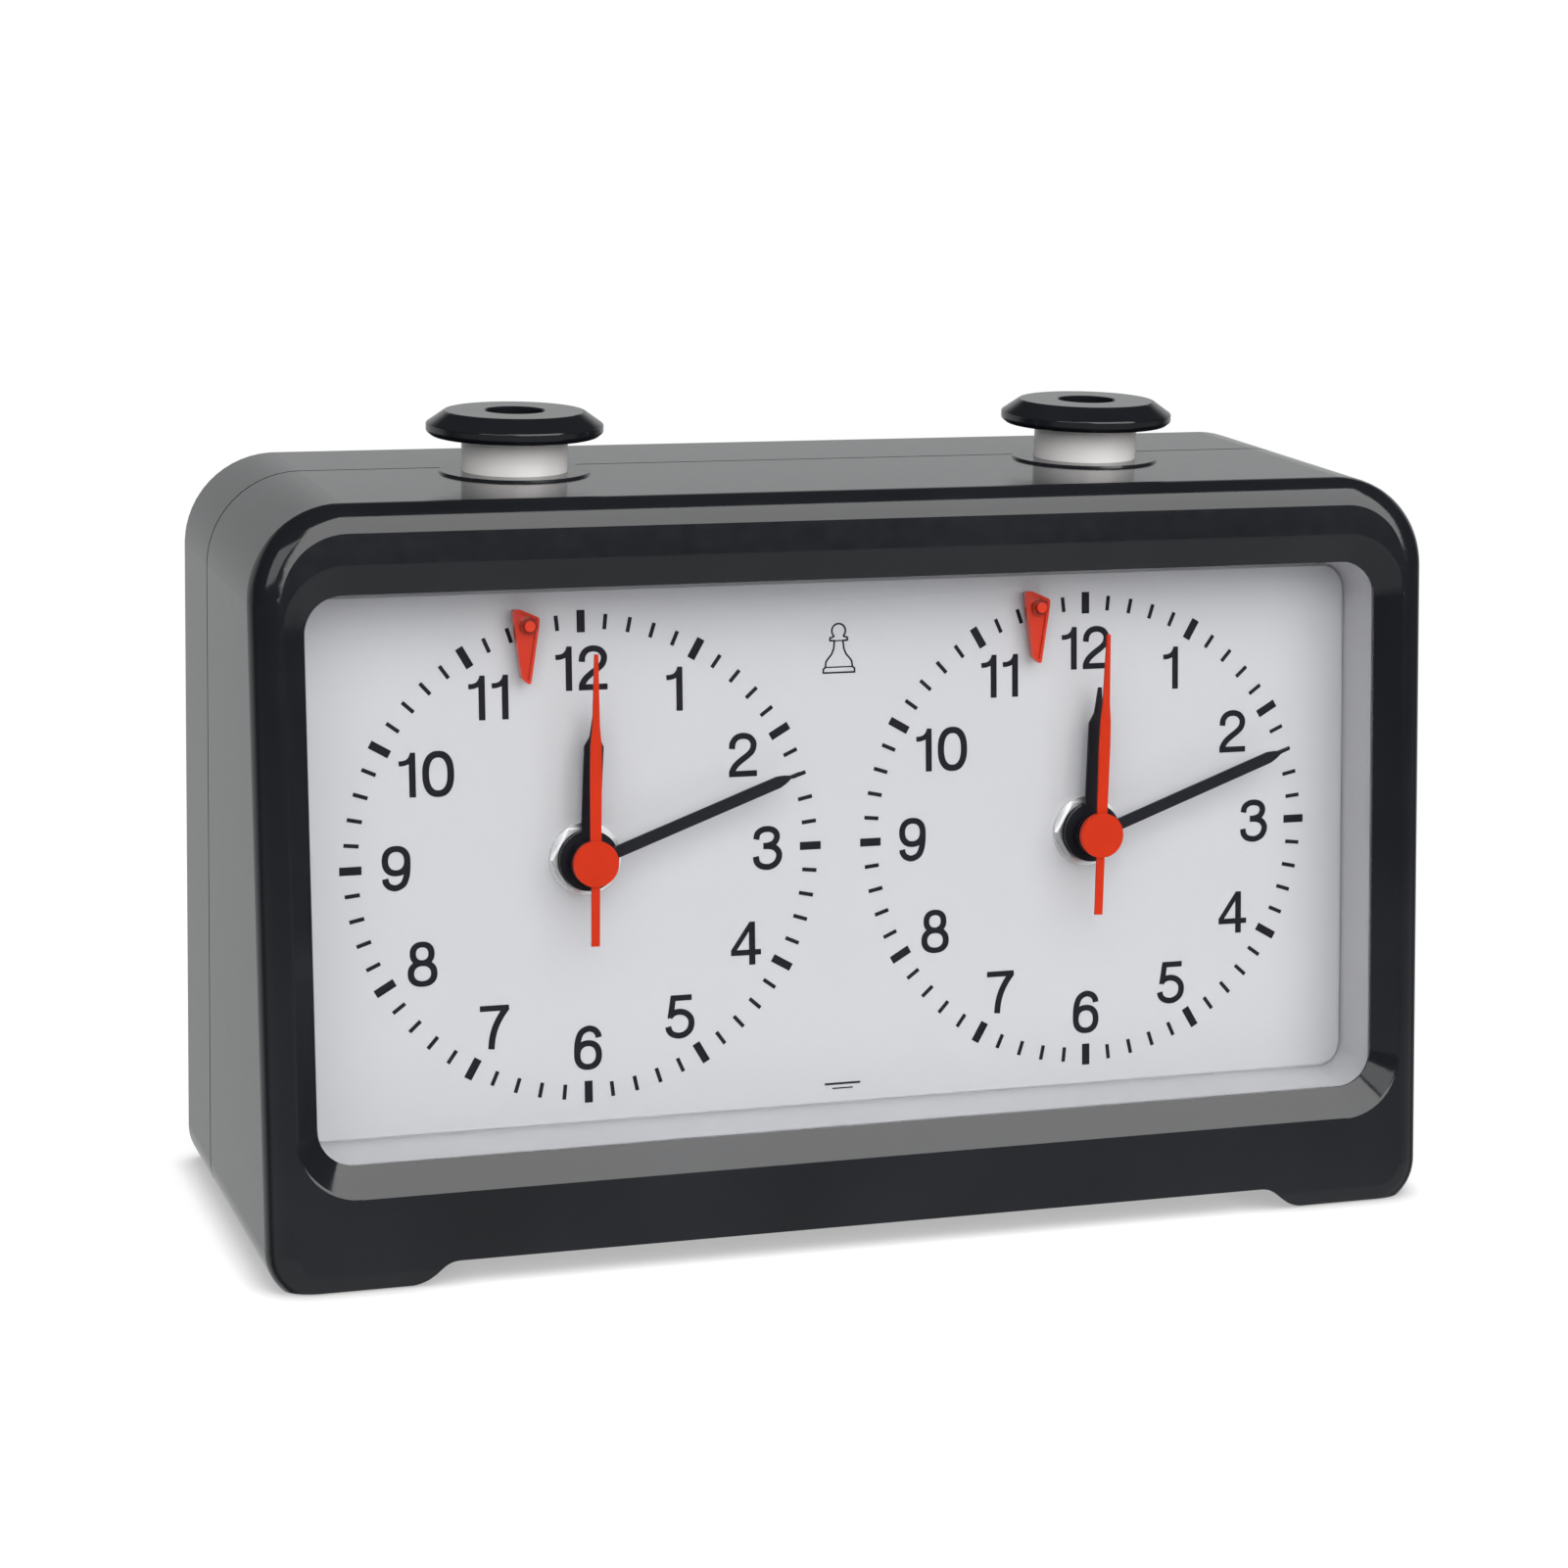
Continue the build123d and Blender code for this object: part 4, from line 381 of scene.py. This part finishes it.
        [(0.1363, -0.0104), (0.1038, -0.0044), (0.0733, 0.0073), (0.059, 0.0155), (0.0468, 0.0244), (0.0265, 0.0449), (0.0111, 0.0692), (0.0007, 0.0977), (-0.004, 0.1282), (-0.0036, 0.1669), (-0.0014, 0.1831), (0.0026, 0.1994), (0.0078, 0.2137), (0.0149, 0.2279), (0.0227, 0.2401), (0.0327, 0.2523), (0.0448, 0.2639), (0.0588, 0.2747), (0.046, 0.291), (0.036, 0.3093), (0.0285, 0.3312), (0.0245, 0.3541), (0.0235, 0.3846), (0.0258, 0.411), (0.0313, 0.4334), (0.0407, 0.4551), (0.0518, 0.4721), (0.065, 0.4863), (0.0807, 0.4985), (0.0977, 0.5077), (0.118, 0.5149), (0.1384, 0.5189), (0.1607, 0.5204), (0.1872, 0.5195), (0.2055, 0.5167), (0.2238, 0.5114), (0.2401, 0.5043), (0.2564, 0.494), (0.2699, 0.4822), (0.2808, 0.4695), (0.2907, 0.4538), (0.2979, 0.4375), (0.3037, 0.4171), (0.3067, 0.3948), (0.3071, 0.3663), (0.3048, 0.3439), (0.3, 0.3235), (0.293, 0.3057), (0.2833, 0.2889), (0.2719, 0.2747), (0.2889, 0.2612), (0.3032, 0.2463), (0.3146, 0.2299), (0.3237, 0.2116), (0.3302, 0.1913), (0.3339, 0.1709), (0.3352, 0.1485), (0.3342, 0.1221), (0.3318, 0.1058), (0.3277, 0.0895), (0.3224, 0.0753), (0.3152, 0.061), (0.3072, 0.0488), (0.297, 0.0366), (0.2863, 0.0265), (0.2729, 0.0163), (0.2459, 0.002), (0.2137, -0.0075), (0.1791, -0.0115)],
        [(0.1428, 0.059), (0.1607, 0.0575), (0.1811, 0.0582), (0.1974, 0.0609), (0.2137, 0.0664), (0.2261, 0.0733), (0.2384, 0.0834), (0.2482, 0.0956), (0.2545, 0.1078), (0.2592, 0.1241), (0.2609, 0.1424), (0.2598, 0.1628), (0.2557, 0.1791), (0.2488, 0.1933), (0.2394, 0.2055), (0.2276, 0.2157), (0.2116, 0.2244), (0.1933, 0.23), (0.173, 0.2323), (0.1485, 0.2317), (0.1282, 0.2277), (0.1119, 0.2211), (0.0977, 0.2116), (0.0855, 0.1987), (0.0766, 0.1831), (0.0709, 0.1628), (0.0698, 0.1404), (0.0723, 0.1201), (0.0794, 0.101), (0.0903, 0.0855), (0.1046, 0.0733), (0.1221, 0.0643)],
        [(0.1582, 0.3032), (0.173, 0.3032), (0.1872, 0.3054), (0.1994, 0.3098), (0.2096, 0.316), (0.2197, 0.3256), (0.2266, 0.3357), (0.2318, 0.348), (0.235, 0.3622), (0.2358, 0.3805), (0.2343, 0.3968), (0.2304, 0.411), (0.2242, 0.4232), (0.2157, 0.4337), (0.2055, 0.4417), (0.1933, 0.4476), (0.1791, 0.4511), (0.1607, 0.4519), (0.1465, 0.4502), (0.1343, 0.4465), (0.1221, 0.4397), (0.1119, 0.4304), (0.1041, 0.4192), (0.0988, 0.407), (0.0957, 0.3927), (0.0948, 0.3744), (0.0963, 0.3581), (0.1003, 0.3439), (0.1078, 0.3296), (0.1168, 0.3195), (0.1283, 0.3113), (0.1424, 0.3057)],
    ],
    "9": [
        [(0.1964, 0.519), (0.2167, 0.5149), (0.2352, 0.5087), (0.2533, 0.4997), (0.2696, 0.4885), (0.2839, 0.4754), (0.2961, 0.4607), (0.3068, 0.4436), (0.3152, 0.4253), (0.3241, 0.3948), (0.3286, 0.3581), (0.3284, 0.2686), (0.3227, 0.1974), (0.3146, 0.1506), (0.2996, 0.1017), (0.2857, 0.0712), (0.2767, 0.057), (0.2655, 0.0434), (0.2533, 0.0319), (0.2391, 0.0214), (0.2187, 0.0095), (0.2025, 0.0022), (0.1821, -0.0047), (0.1658, -0.0082), (0.1496, -0.0094), (0.1333, -0.0083), (0.1067, -0.002), (0.0804, 0.0089), (0.06, 0.0211), (0.0417, 0.0378), (0.0239, 0.061), (0.0118, 0.0834), (0.0067, 0.1017), (0.0031, 0.1323), (0.0045, 0.1343), (0.0743, 0.1466), (0.0801, 0.1099), (0.089, 0.0956), (0.0987, 0.0842), (0.1089, 0.0767), (0.1292, 0.0677), (0.1455, 0.0641), (0.1577, 0.0647), (0.176, 0.0705), (0.1937, 0.0794), (0.2065, 0.0883), (0.2167, 0.0991), (0.2243, 0.1119), (0.232, 0.1302), (0.2415, 0.1607), (0.2462, 0.1811), (0.2452, 0.1825), (0.2208, 0.173), (0.1964, 0.1678), (0.1699, 0.1659), (0.1414, 0.1669), (0.119, 0.1706), (0.0967, 0.1776), (0.0771, 0.1872), (0.06, 0.1991), (0.0437, 0.2147), (0.0305, 0.232), (0.0193, 0.2523), (0.0115, 0.2727), (0.006, 0.295), (0.0028, 0.3195), (0.0021, 0.352), (0.0039, 0.3785), (0.0112, 0.4131), (0.0239, 0.4436), (0.0326, 0.4578), (0.042, 0.47), (0.0538, 0.4822), (0.0661, 0.4924), (0.0783, 0.5003), (0.0926, 0.5075), (0.1068, 0.5128), (0.1231, 0.5171), (0.1577, 0.5208)],
        [(0.185, 0.4477), (0.1658, 0.4492), (0.1455, 0.4476), (0.1292, 0.443), (0.115, 0.4354), (0.1028, 0.4251), (0.0918, 0.411), (0.0836, 0.3948), (0.0783, 0.3764), (0.0755, 0.3541), (0.076, 0.3256), (0.08, 0.3032), (0.0867, 0.2849), (0.0967, 0.2686), (0.1109, 0.2543), (0.1272, 0.2446), (0.1435, 0.2395), (0.1618, 0.2376), (0.1821, 0.2386), (0.1984, 0.2426), (0.2147, 0.2507), (0.2287, 0.2625), (0.2391, 0.276), (0.2474, 0.293), (0.2526, 0.3113), (0.2552, 0.3337), (0.2545, 0.3622), (0.2504, 0.3846), (0.2434, 0.4029), (0.233, 0.4194), (0.2187, 0.4332), (0.2025, 0.4425)],
    ],
}
DIGIT_SIZE = 11.47     # mm for one unit of type
DIGIT_WIDE = 1.04


def number_shapes(text, cx, cz, place):
    """The digits of a number, centred on (cx, cz)."""
    gap = 0.075
    spans, x = [], 0.0
    for ch in text:
        loops = GLYPHS[ch]
        x0 = min(p[0] for lp in loops for p in lp)
        x1 = max(p[0] for lp in loops for p in lp)
        spans.append((ch, x - x0))
        x += x1 - x0 + gap
    width = x - gap
    out = []
    for ch, off in spans:
        loops = [
            [(((px + off) - width / 2) * DIGIT_SIZE * DIGIT_WIDE + cx, (py - 0.2544) * DIGIT_SIZE + cz) for px, py in lp]
            for lp in GLYPHS[ch]
        ]
        out.append(print_shape(loops, place))
    return out


NUMBER_R = {1: 25.75, 2: 25.85, 3: 25.75, 4: 26.0, 5: 25.95, 6: 25.85, 7: 25.6, 8: 26.0, 9: 25.75, 10: 24.7, 11: 25.6, 12: 25.6}
for side, cx in SIDES.items():
    put = lambda x, y, h, cx=cx: at(cx + x, y, h)
    shapes = []
    for n in range(1, 13):
        a = math.radians(30 * n)
        r = NUMBER_R[n]
        shapes += number_shapes(str(n), r * math.sin(a), r * math.cos(a), put)
    join_shapes("dial_numbers_" + side, shapes, "case", M["ink"])
    shapes = []
    for n in range(60):
        a = math.radians(6 * n)
        long_, wide = (1.5, 0.56) if n % 5 == 0 else (1.03, 0.27)
        u = (math.sin(a), math.cos(a))
        v = (math.cos(a), -math.sin(a))
        lp = [
            (u[0] * (31.9 + s * long_) + v[0] * t * wide, u[1] * (31.9 + s * long_) + v[1] * t * wide)
            for s, t in ((-1, -1), (1, -1), (1, 1), (-1, 1))
        ]
        shapes.append(print_shape([lp], put))
    join_shapes("dial_marks_" + side, shapes, "case", M["ink"])


def stroke(points, width, closed=False):
    """Outline of a line of the given width through points."""
    pts = [Vector(p) for p in points]
    n = len(pts)
    left, right = [], []
    for i, p in enumerate(pts):
        a = pts[(i - 1) % n] if closed or i > 0 else None
        b = pts[(i + 1) % n] if closed or i < n - 1 else None
        d1 = (p - a).normalized() if a is not None else None
        d2 = (b - p).normalized() if b is not None else None
        d = (d1 + d2).normalized() if d1 is not None and d2 is not None else (d1 or d2)
        nrm = Vector((-d.y, d.x))
        k = 1.0
        if d1 is not None and d2 is not None:
            k = 1.0 / max(0.5, nrm.dot(Vector((-d1.y, d1.x))))
        left.append(tuple(p + nrm * width / 2 * k))
        right.append(tuple(p - nrm * width / 2 * k))
    if closed:
        return [left, right] if abs(area2(left)) > abs(area2(right)) else [right, left]
    return [left + list(reversed(right))]


# A plain line drawing of a chess pawn stands between the dials.
pawn = []
head = [(0.98 * math.cos(t), 29.3 + 0.98 * math.sin(t)) for t in [math.radians(-50 + 280 * i / 22) for i in range(23)]]
right_side = [head[0], (1.25, 28.35), (1.25, 28.0), (0.62, 27.95), (0.72, 26.9), (1.05, 26.1), (1.62, 25.45), (1.85, 25.1), (1.95, 24.35), (2.25, 24.1), (2.25, 23.6)]
left_side = [(-x, y) for x, y in right_side]
pawn.append(print_shape(stroke(head, 0.25), lambda x, y, h: at(x, y, h)))
pawn.append(print_shape(stroke(right_side, 0.25), lambda x, y, h: at(x, y, h)))
pawn.append(print_shape(stroke(left_side, 0.25), lambda x, y, h: at(x, y, h)))
pawn.append(print_shape(stroke([(-2.37, 23.6), (2.37, 23.6)], 0.24), lambda x, y, h: at(x, y, h)))
pawn.append(print_shape(stroke([(-1.95, 24.35), (1.95, 24.35)], 0.18), lambda x, y, h: at(x, y, h)))
pawn.append(print_shape(stroke([(-0.66, 27.95), (0.66, 27.95)], 0.18), lambda x, y, h: at(x, y, h)))
join_shapes("dial_emblem", pawn, "case", M["ink"])
dash = [print_shape([[(-2.6, -33.55), (2.6, -33.55), (2.6, -33.25), (-2.6, -33.25)]], lambda x, y, h: at(x, y, h))]
dash.append(print_shape([[(-1.5, -34.15), (1.5, -34.15), (1.5, -33.95), (-1.5, -33.95)]], lambda x, y, h: at(x, y, h)))
join_shapes("dial_dash", dash, "case", M["ink"])

# ------------------------------------------------------------------ studio
KEY_W = 23.5       # watts
TOP_W = 8.0
SIDE_W = 2.0
LEFT_W = 3.0
FRONT_W = 5.0
WALL, TABLE, DIM = 0.52, 0.42, 0.04


def emission_plane(name, size, loc, target, colour, strength):
    light = bpy.data.lights.new(name, "AREA")
    light.shape = "RECTANGLE"
    light.size, light.size_y = size
    light.energy = strength
    light.color = colour
    ob = bpy.data.objects.new(name, light)
    bpy.context.scene.collection.objects.link(ob)
    ob.location = loc
    ob.rotation_mode = "QUATERNION"
    ob.rotation_quaternion = (Vector(target) - Vector(loc)).to_track_quat("-Z", "Y")
    return ob


world = bpy.data.worlds.new("studio")
bpy.context.scene.world = world
world.use_nodes = True
wt = world.node_tree
for n in list(wt.nodes):
    wt.nodes.remove(n)
w_out = wt.nodes.new("ShaderNodeOutputWorld")
w_coord = wt.nodes.new("ShaderNodeTexCoord")
w_sep = wt.nodes.new("ShaderNodeSeparateXYZ")
wt.links.new(w_coord.outputs["Generated"], w_sep.inputs[0])


def w_smooth(axis, lo, hi, a, b):
    """A value that eases from a to b as the direction's axis component runs from lo to hi."""
    r = wt.nodes.new("ShaderNodeMapRange")
    r.interpolation_type = "SMOOTHSTEP"
    r.inputs["From Min"].default_value = lo
    r.inputs["From Max"].default_value = hi
    r.inputs["To Min"].default_value = a
    r.inputs["To Max"].default_value = b
    wt.links.new(w_sep.outputs[axis], r.inputs["Value"])
    return r.outputs[0]


def w_math(op, a, b):
    m = wt.nodes.new("ShaderNodeMath")
    m.operation = op
    for i, v in enumerate((a, b)):
        if isinstance(v, float):
            m.inputs[i].default_value = v
        else:
            wt.links.new(v, m.inputs[i])
    return m.outputs[0]


# The studio is dim in front and overhead, with a pale wall low behind the clock and a pale table in front of it.
wall = w_math("MULTIPLY", w_smooth("Y", 0.25, 0.65, 0.0, WALL), w_smooth("Z", 0.24, 0.50, 1.0, 0.0))
table = w_math("MULTIPLY", w_smooth("Y", -0.2, 0.3, TABLE, 0.0), w_smooth("Z", -0.25, -0.03, 1.0, 0.0))
w_value = w_math("ADD", w_math("ADD", wall, table), DIM)
w_bg = wt.nodes.new("ShaderNodeBackground")
wt.links.new(w_value, w_bg.inputs["Strength"])
w_bg.inputs["Color"].default_value = (0.985, 0.995, 1.0, 1)
w_cam = wt.nodes.new("ShaderNodeBackground")
w_cam.inputs["Color"].default_value = (1, 1, 1, 1)
w_cam.inputs["Strength"].default_value = 1.0
w_path = wt.nodes.new("ShaderNodeLightPath")
w_mix = wt.nodes.new("ShaderNodeMixShader")
wt.links.new(w_path.outputs["Is Camera Ray"], w_mix.inputs[0])
wt.links.new(w_bg.outputs[0], w_mix.inputs[1])
wt.links.new(w_cam.outputs[0], w_mix.inputs[2])
wt.links.new(w_mix.outputs[0], w_out.inputs[0])

# floor that fades into the white backdrop
fm, fnt, fb, fcoord, fout = new_mat("floor_white")
fb.inputs["Roughness"].default_value = 0.9
fb.inputs["Specular IOR Level"].default_value = 0.0
fb.inputs["Base Color"].default_value = (0.26, 0.26, 0.26, 1)
fb.inputs["Emission Color"].default_value = (1, 1, 1, 1)
# Painted contact shadow: ambient occlusion dims the floor's glow close to the clock.
f_painted_contact_shadow = fnt.nodes.new("ShaderNodeAmbientOcclusion")
f_painted_contact_shadow.samples = 8
f_painted_contact_shadow.inputs["Distance"].default_value = 0.005
fnt.links.new(spread(fnt, f_painted_contact_shadow.outputs["AO"], 0.40, 0.85, 0.42, 0.90), fb.inputs["Emission Strength"])
f_clear = fnt.nodes.new("ShaderNodeBsdfTransparent")
f_mix = fnt.nodes.new("ShaderNodeMixShader")
f_len = fnt.nodes.new("ShaderNodeVectorMath")
f_len.operation = "LENGTH"
fnt.links.new(fcoord.outputs["Object"], f_len.inputs[0])
f_fade = fnt.nodes.new("ShaderNodeMapRange")
f_fade.interpolation_type = "SMOOTHSTEP"
f_fade.inputs["From Min"].default_value = 0.16
f_fade.inputs["From Max"].default_value = 0.40
fnt.links.new(f_len.outputs["Value"], f_fade.inputs["Value"])
fnt.links.new(f_fade.outputs[0], f_mix.inputs[0])
fnt.links.new(fb.outputs[0], f_mix.inputs[1])
fnt.links.new(f_clear.outputs[0], f_mix.inputs[2])
fnt.links.new(f_mix.outputs[0], fout.inputs[0])
me = bpy.data.meshes.new("floor")
N, S = 24, 1.2
fv = [(-S + 2 * S * i / N, -S + 2 * S * j / N, -0.0002) for j in range(N + 1) for i in range(N + 1)]
ff = [[j * (N + 1) + i, j * (N + 1) + i + 1, (j + 1) * (N + 1) + i + 1, (j + 1) * (N + 1) + i] for j in range(N) for i in range(N)]
me.from_pydata(fv, [], ff)
me.materials.append(fm)
floor = bpy.data.objects.new("floor", me)
bpy.context.scene.collection.objects.link(floor)
floor.visible_glossy = False


def aimed(distance, azimuth, elevation):
    """A point at a distance from the clock's middle; azimuth 0 is straight in front, positive to the right."""
    az, el = math.radians(azimuth), math.radians(elevation)
    return (distance * math.sin(az) * math.cos(el), -distance * math.cos(az) * math.cos(el), 0.05 + distance * math.sin(el))


emission_plane("key_softbox", (1.4, 1.39), aimed(1.2, 18, 36), (0, 0, 0.05), (1, 0.995, 0.99), KEY_W)
emission_plane("left_softbox", (0.75, 0.6), aimed(1.2, -42, 27), (0, 0, 0.05), (1, 0.995, 0.985), LEFT_W)
front_fill = emission_plane("front_fill", (1.6, 1.2), aimed(1.6, -28, 20), (0, 0, 0.05), (1, 1, 1), FRONT_W)
front_fill.visible_glossy = False
top_fill = emission_plane("top_fill", (1.6, 1.6), (0.0, 0.3, 1.6), (0, 0, 0.05), (1, 1, 1), TOP_W)
top_fill.visible_glossy = False
side_fill = emission_plane("side_fill", (1.0, 1.0), aimed(1.3, -80, 30), (0, 0, 0.05), (1, 1, 1), SIDE_W)
side_fill.visible_glossy = False

# ------------------------------------------------------------------ camera
# The camera in dial coordinates (mm), turned into the clock's frame.
cam_data = bpy.data.cameras.new("camera")
cam = bpy.data.objects.new("camera", cam_data)
bpy.context.scene.collection.objects.link(cam)


def from_dial(v):
    """Vector (X, into the dial, up the dial) to the clock's frame."""
    return Vector((v[0], CA * v[1] + SA * v[2], -SA * v[1] + CA * v[2]))


C = Vector((-165.55, -488.55, 73.28))
cam.location = at(C[0], C[2], -C[1])
right = from_dial((0.95130, -0.30810, -0.01051)).normalized()
up = from_dial((0.04841, 0.11562, 0.99213)).normalized()
back = right.cross(up).normalized()
up = back.cross(right).normalized()
cam.rotation_mode = "QUATERNION"
cam.rotation_quaternion = Matrix((right, up, back)).transposed().to_quaternion()
cam_data.sensor_fit = "HORIZONTAL"
cam_data.sensor_width = 36.0
cam_data.lens = 3878.85 / 1601 * 36.0
cam_data.clip_start, cam_data.clip_end = 0.01, 50
bpy.context.scene.camera = cam
bpy.context.scene.view_settings.view_transform = "Standard"
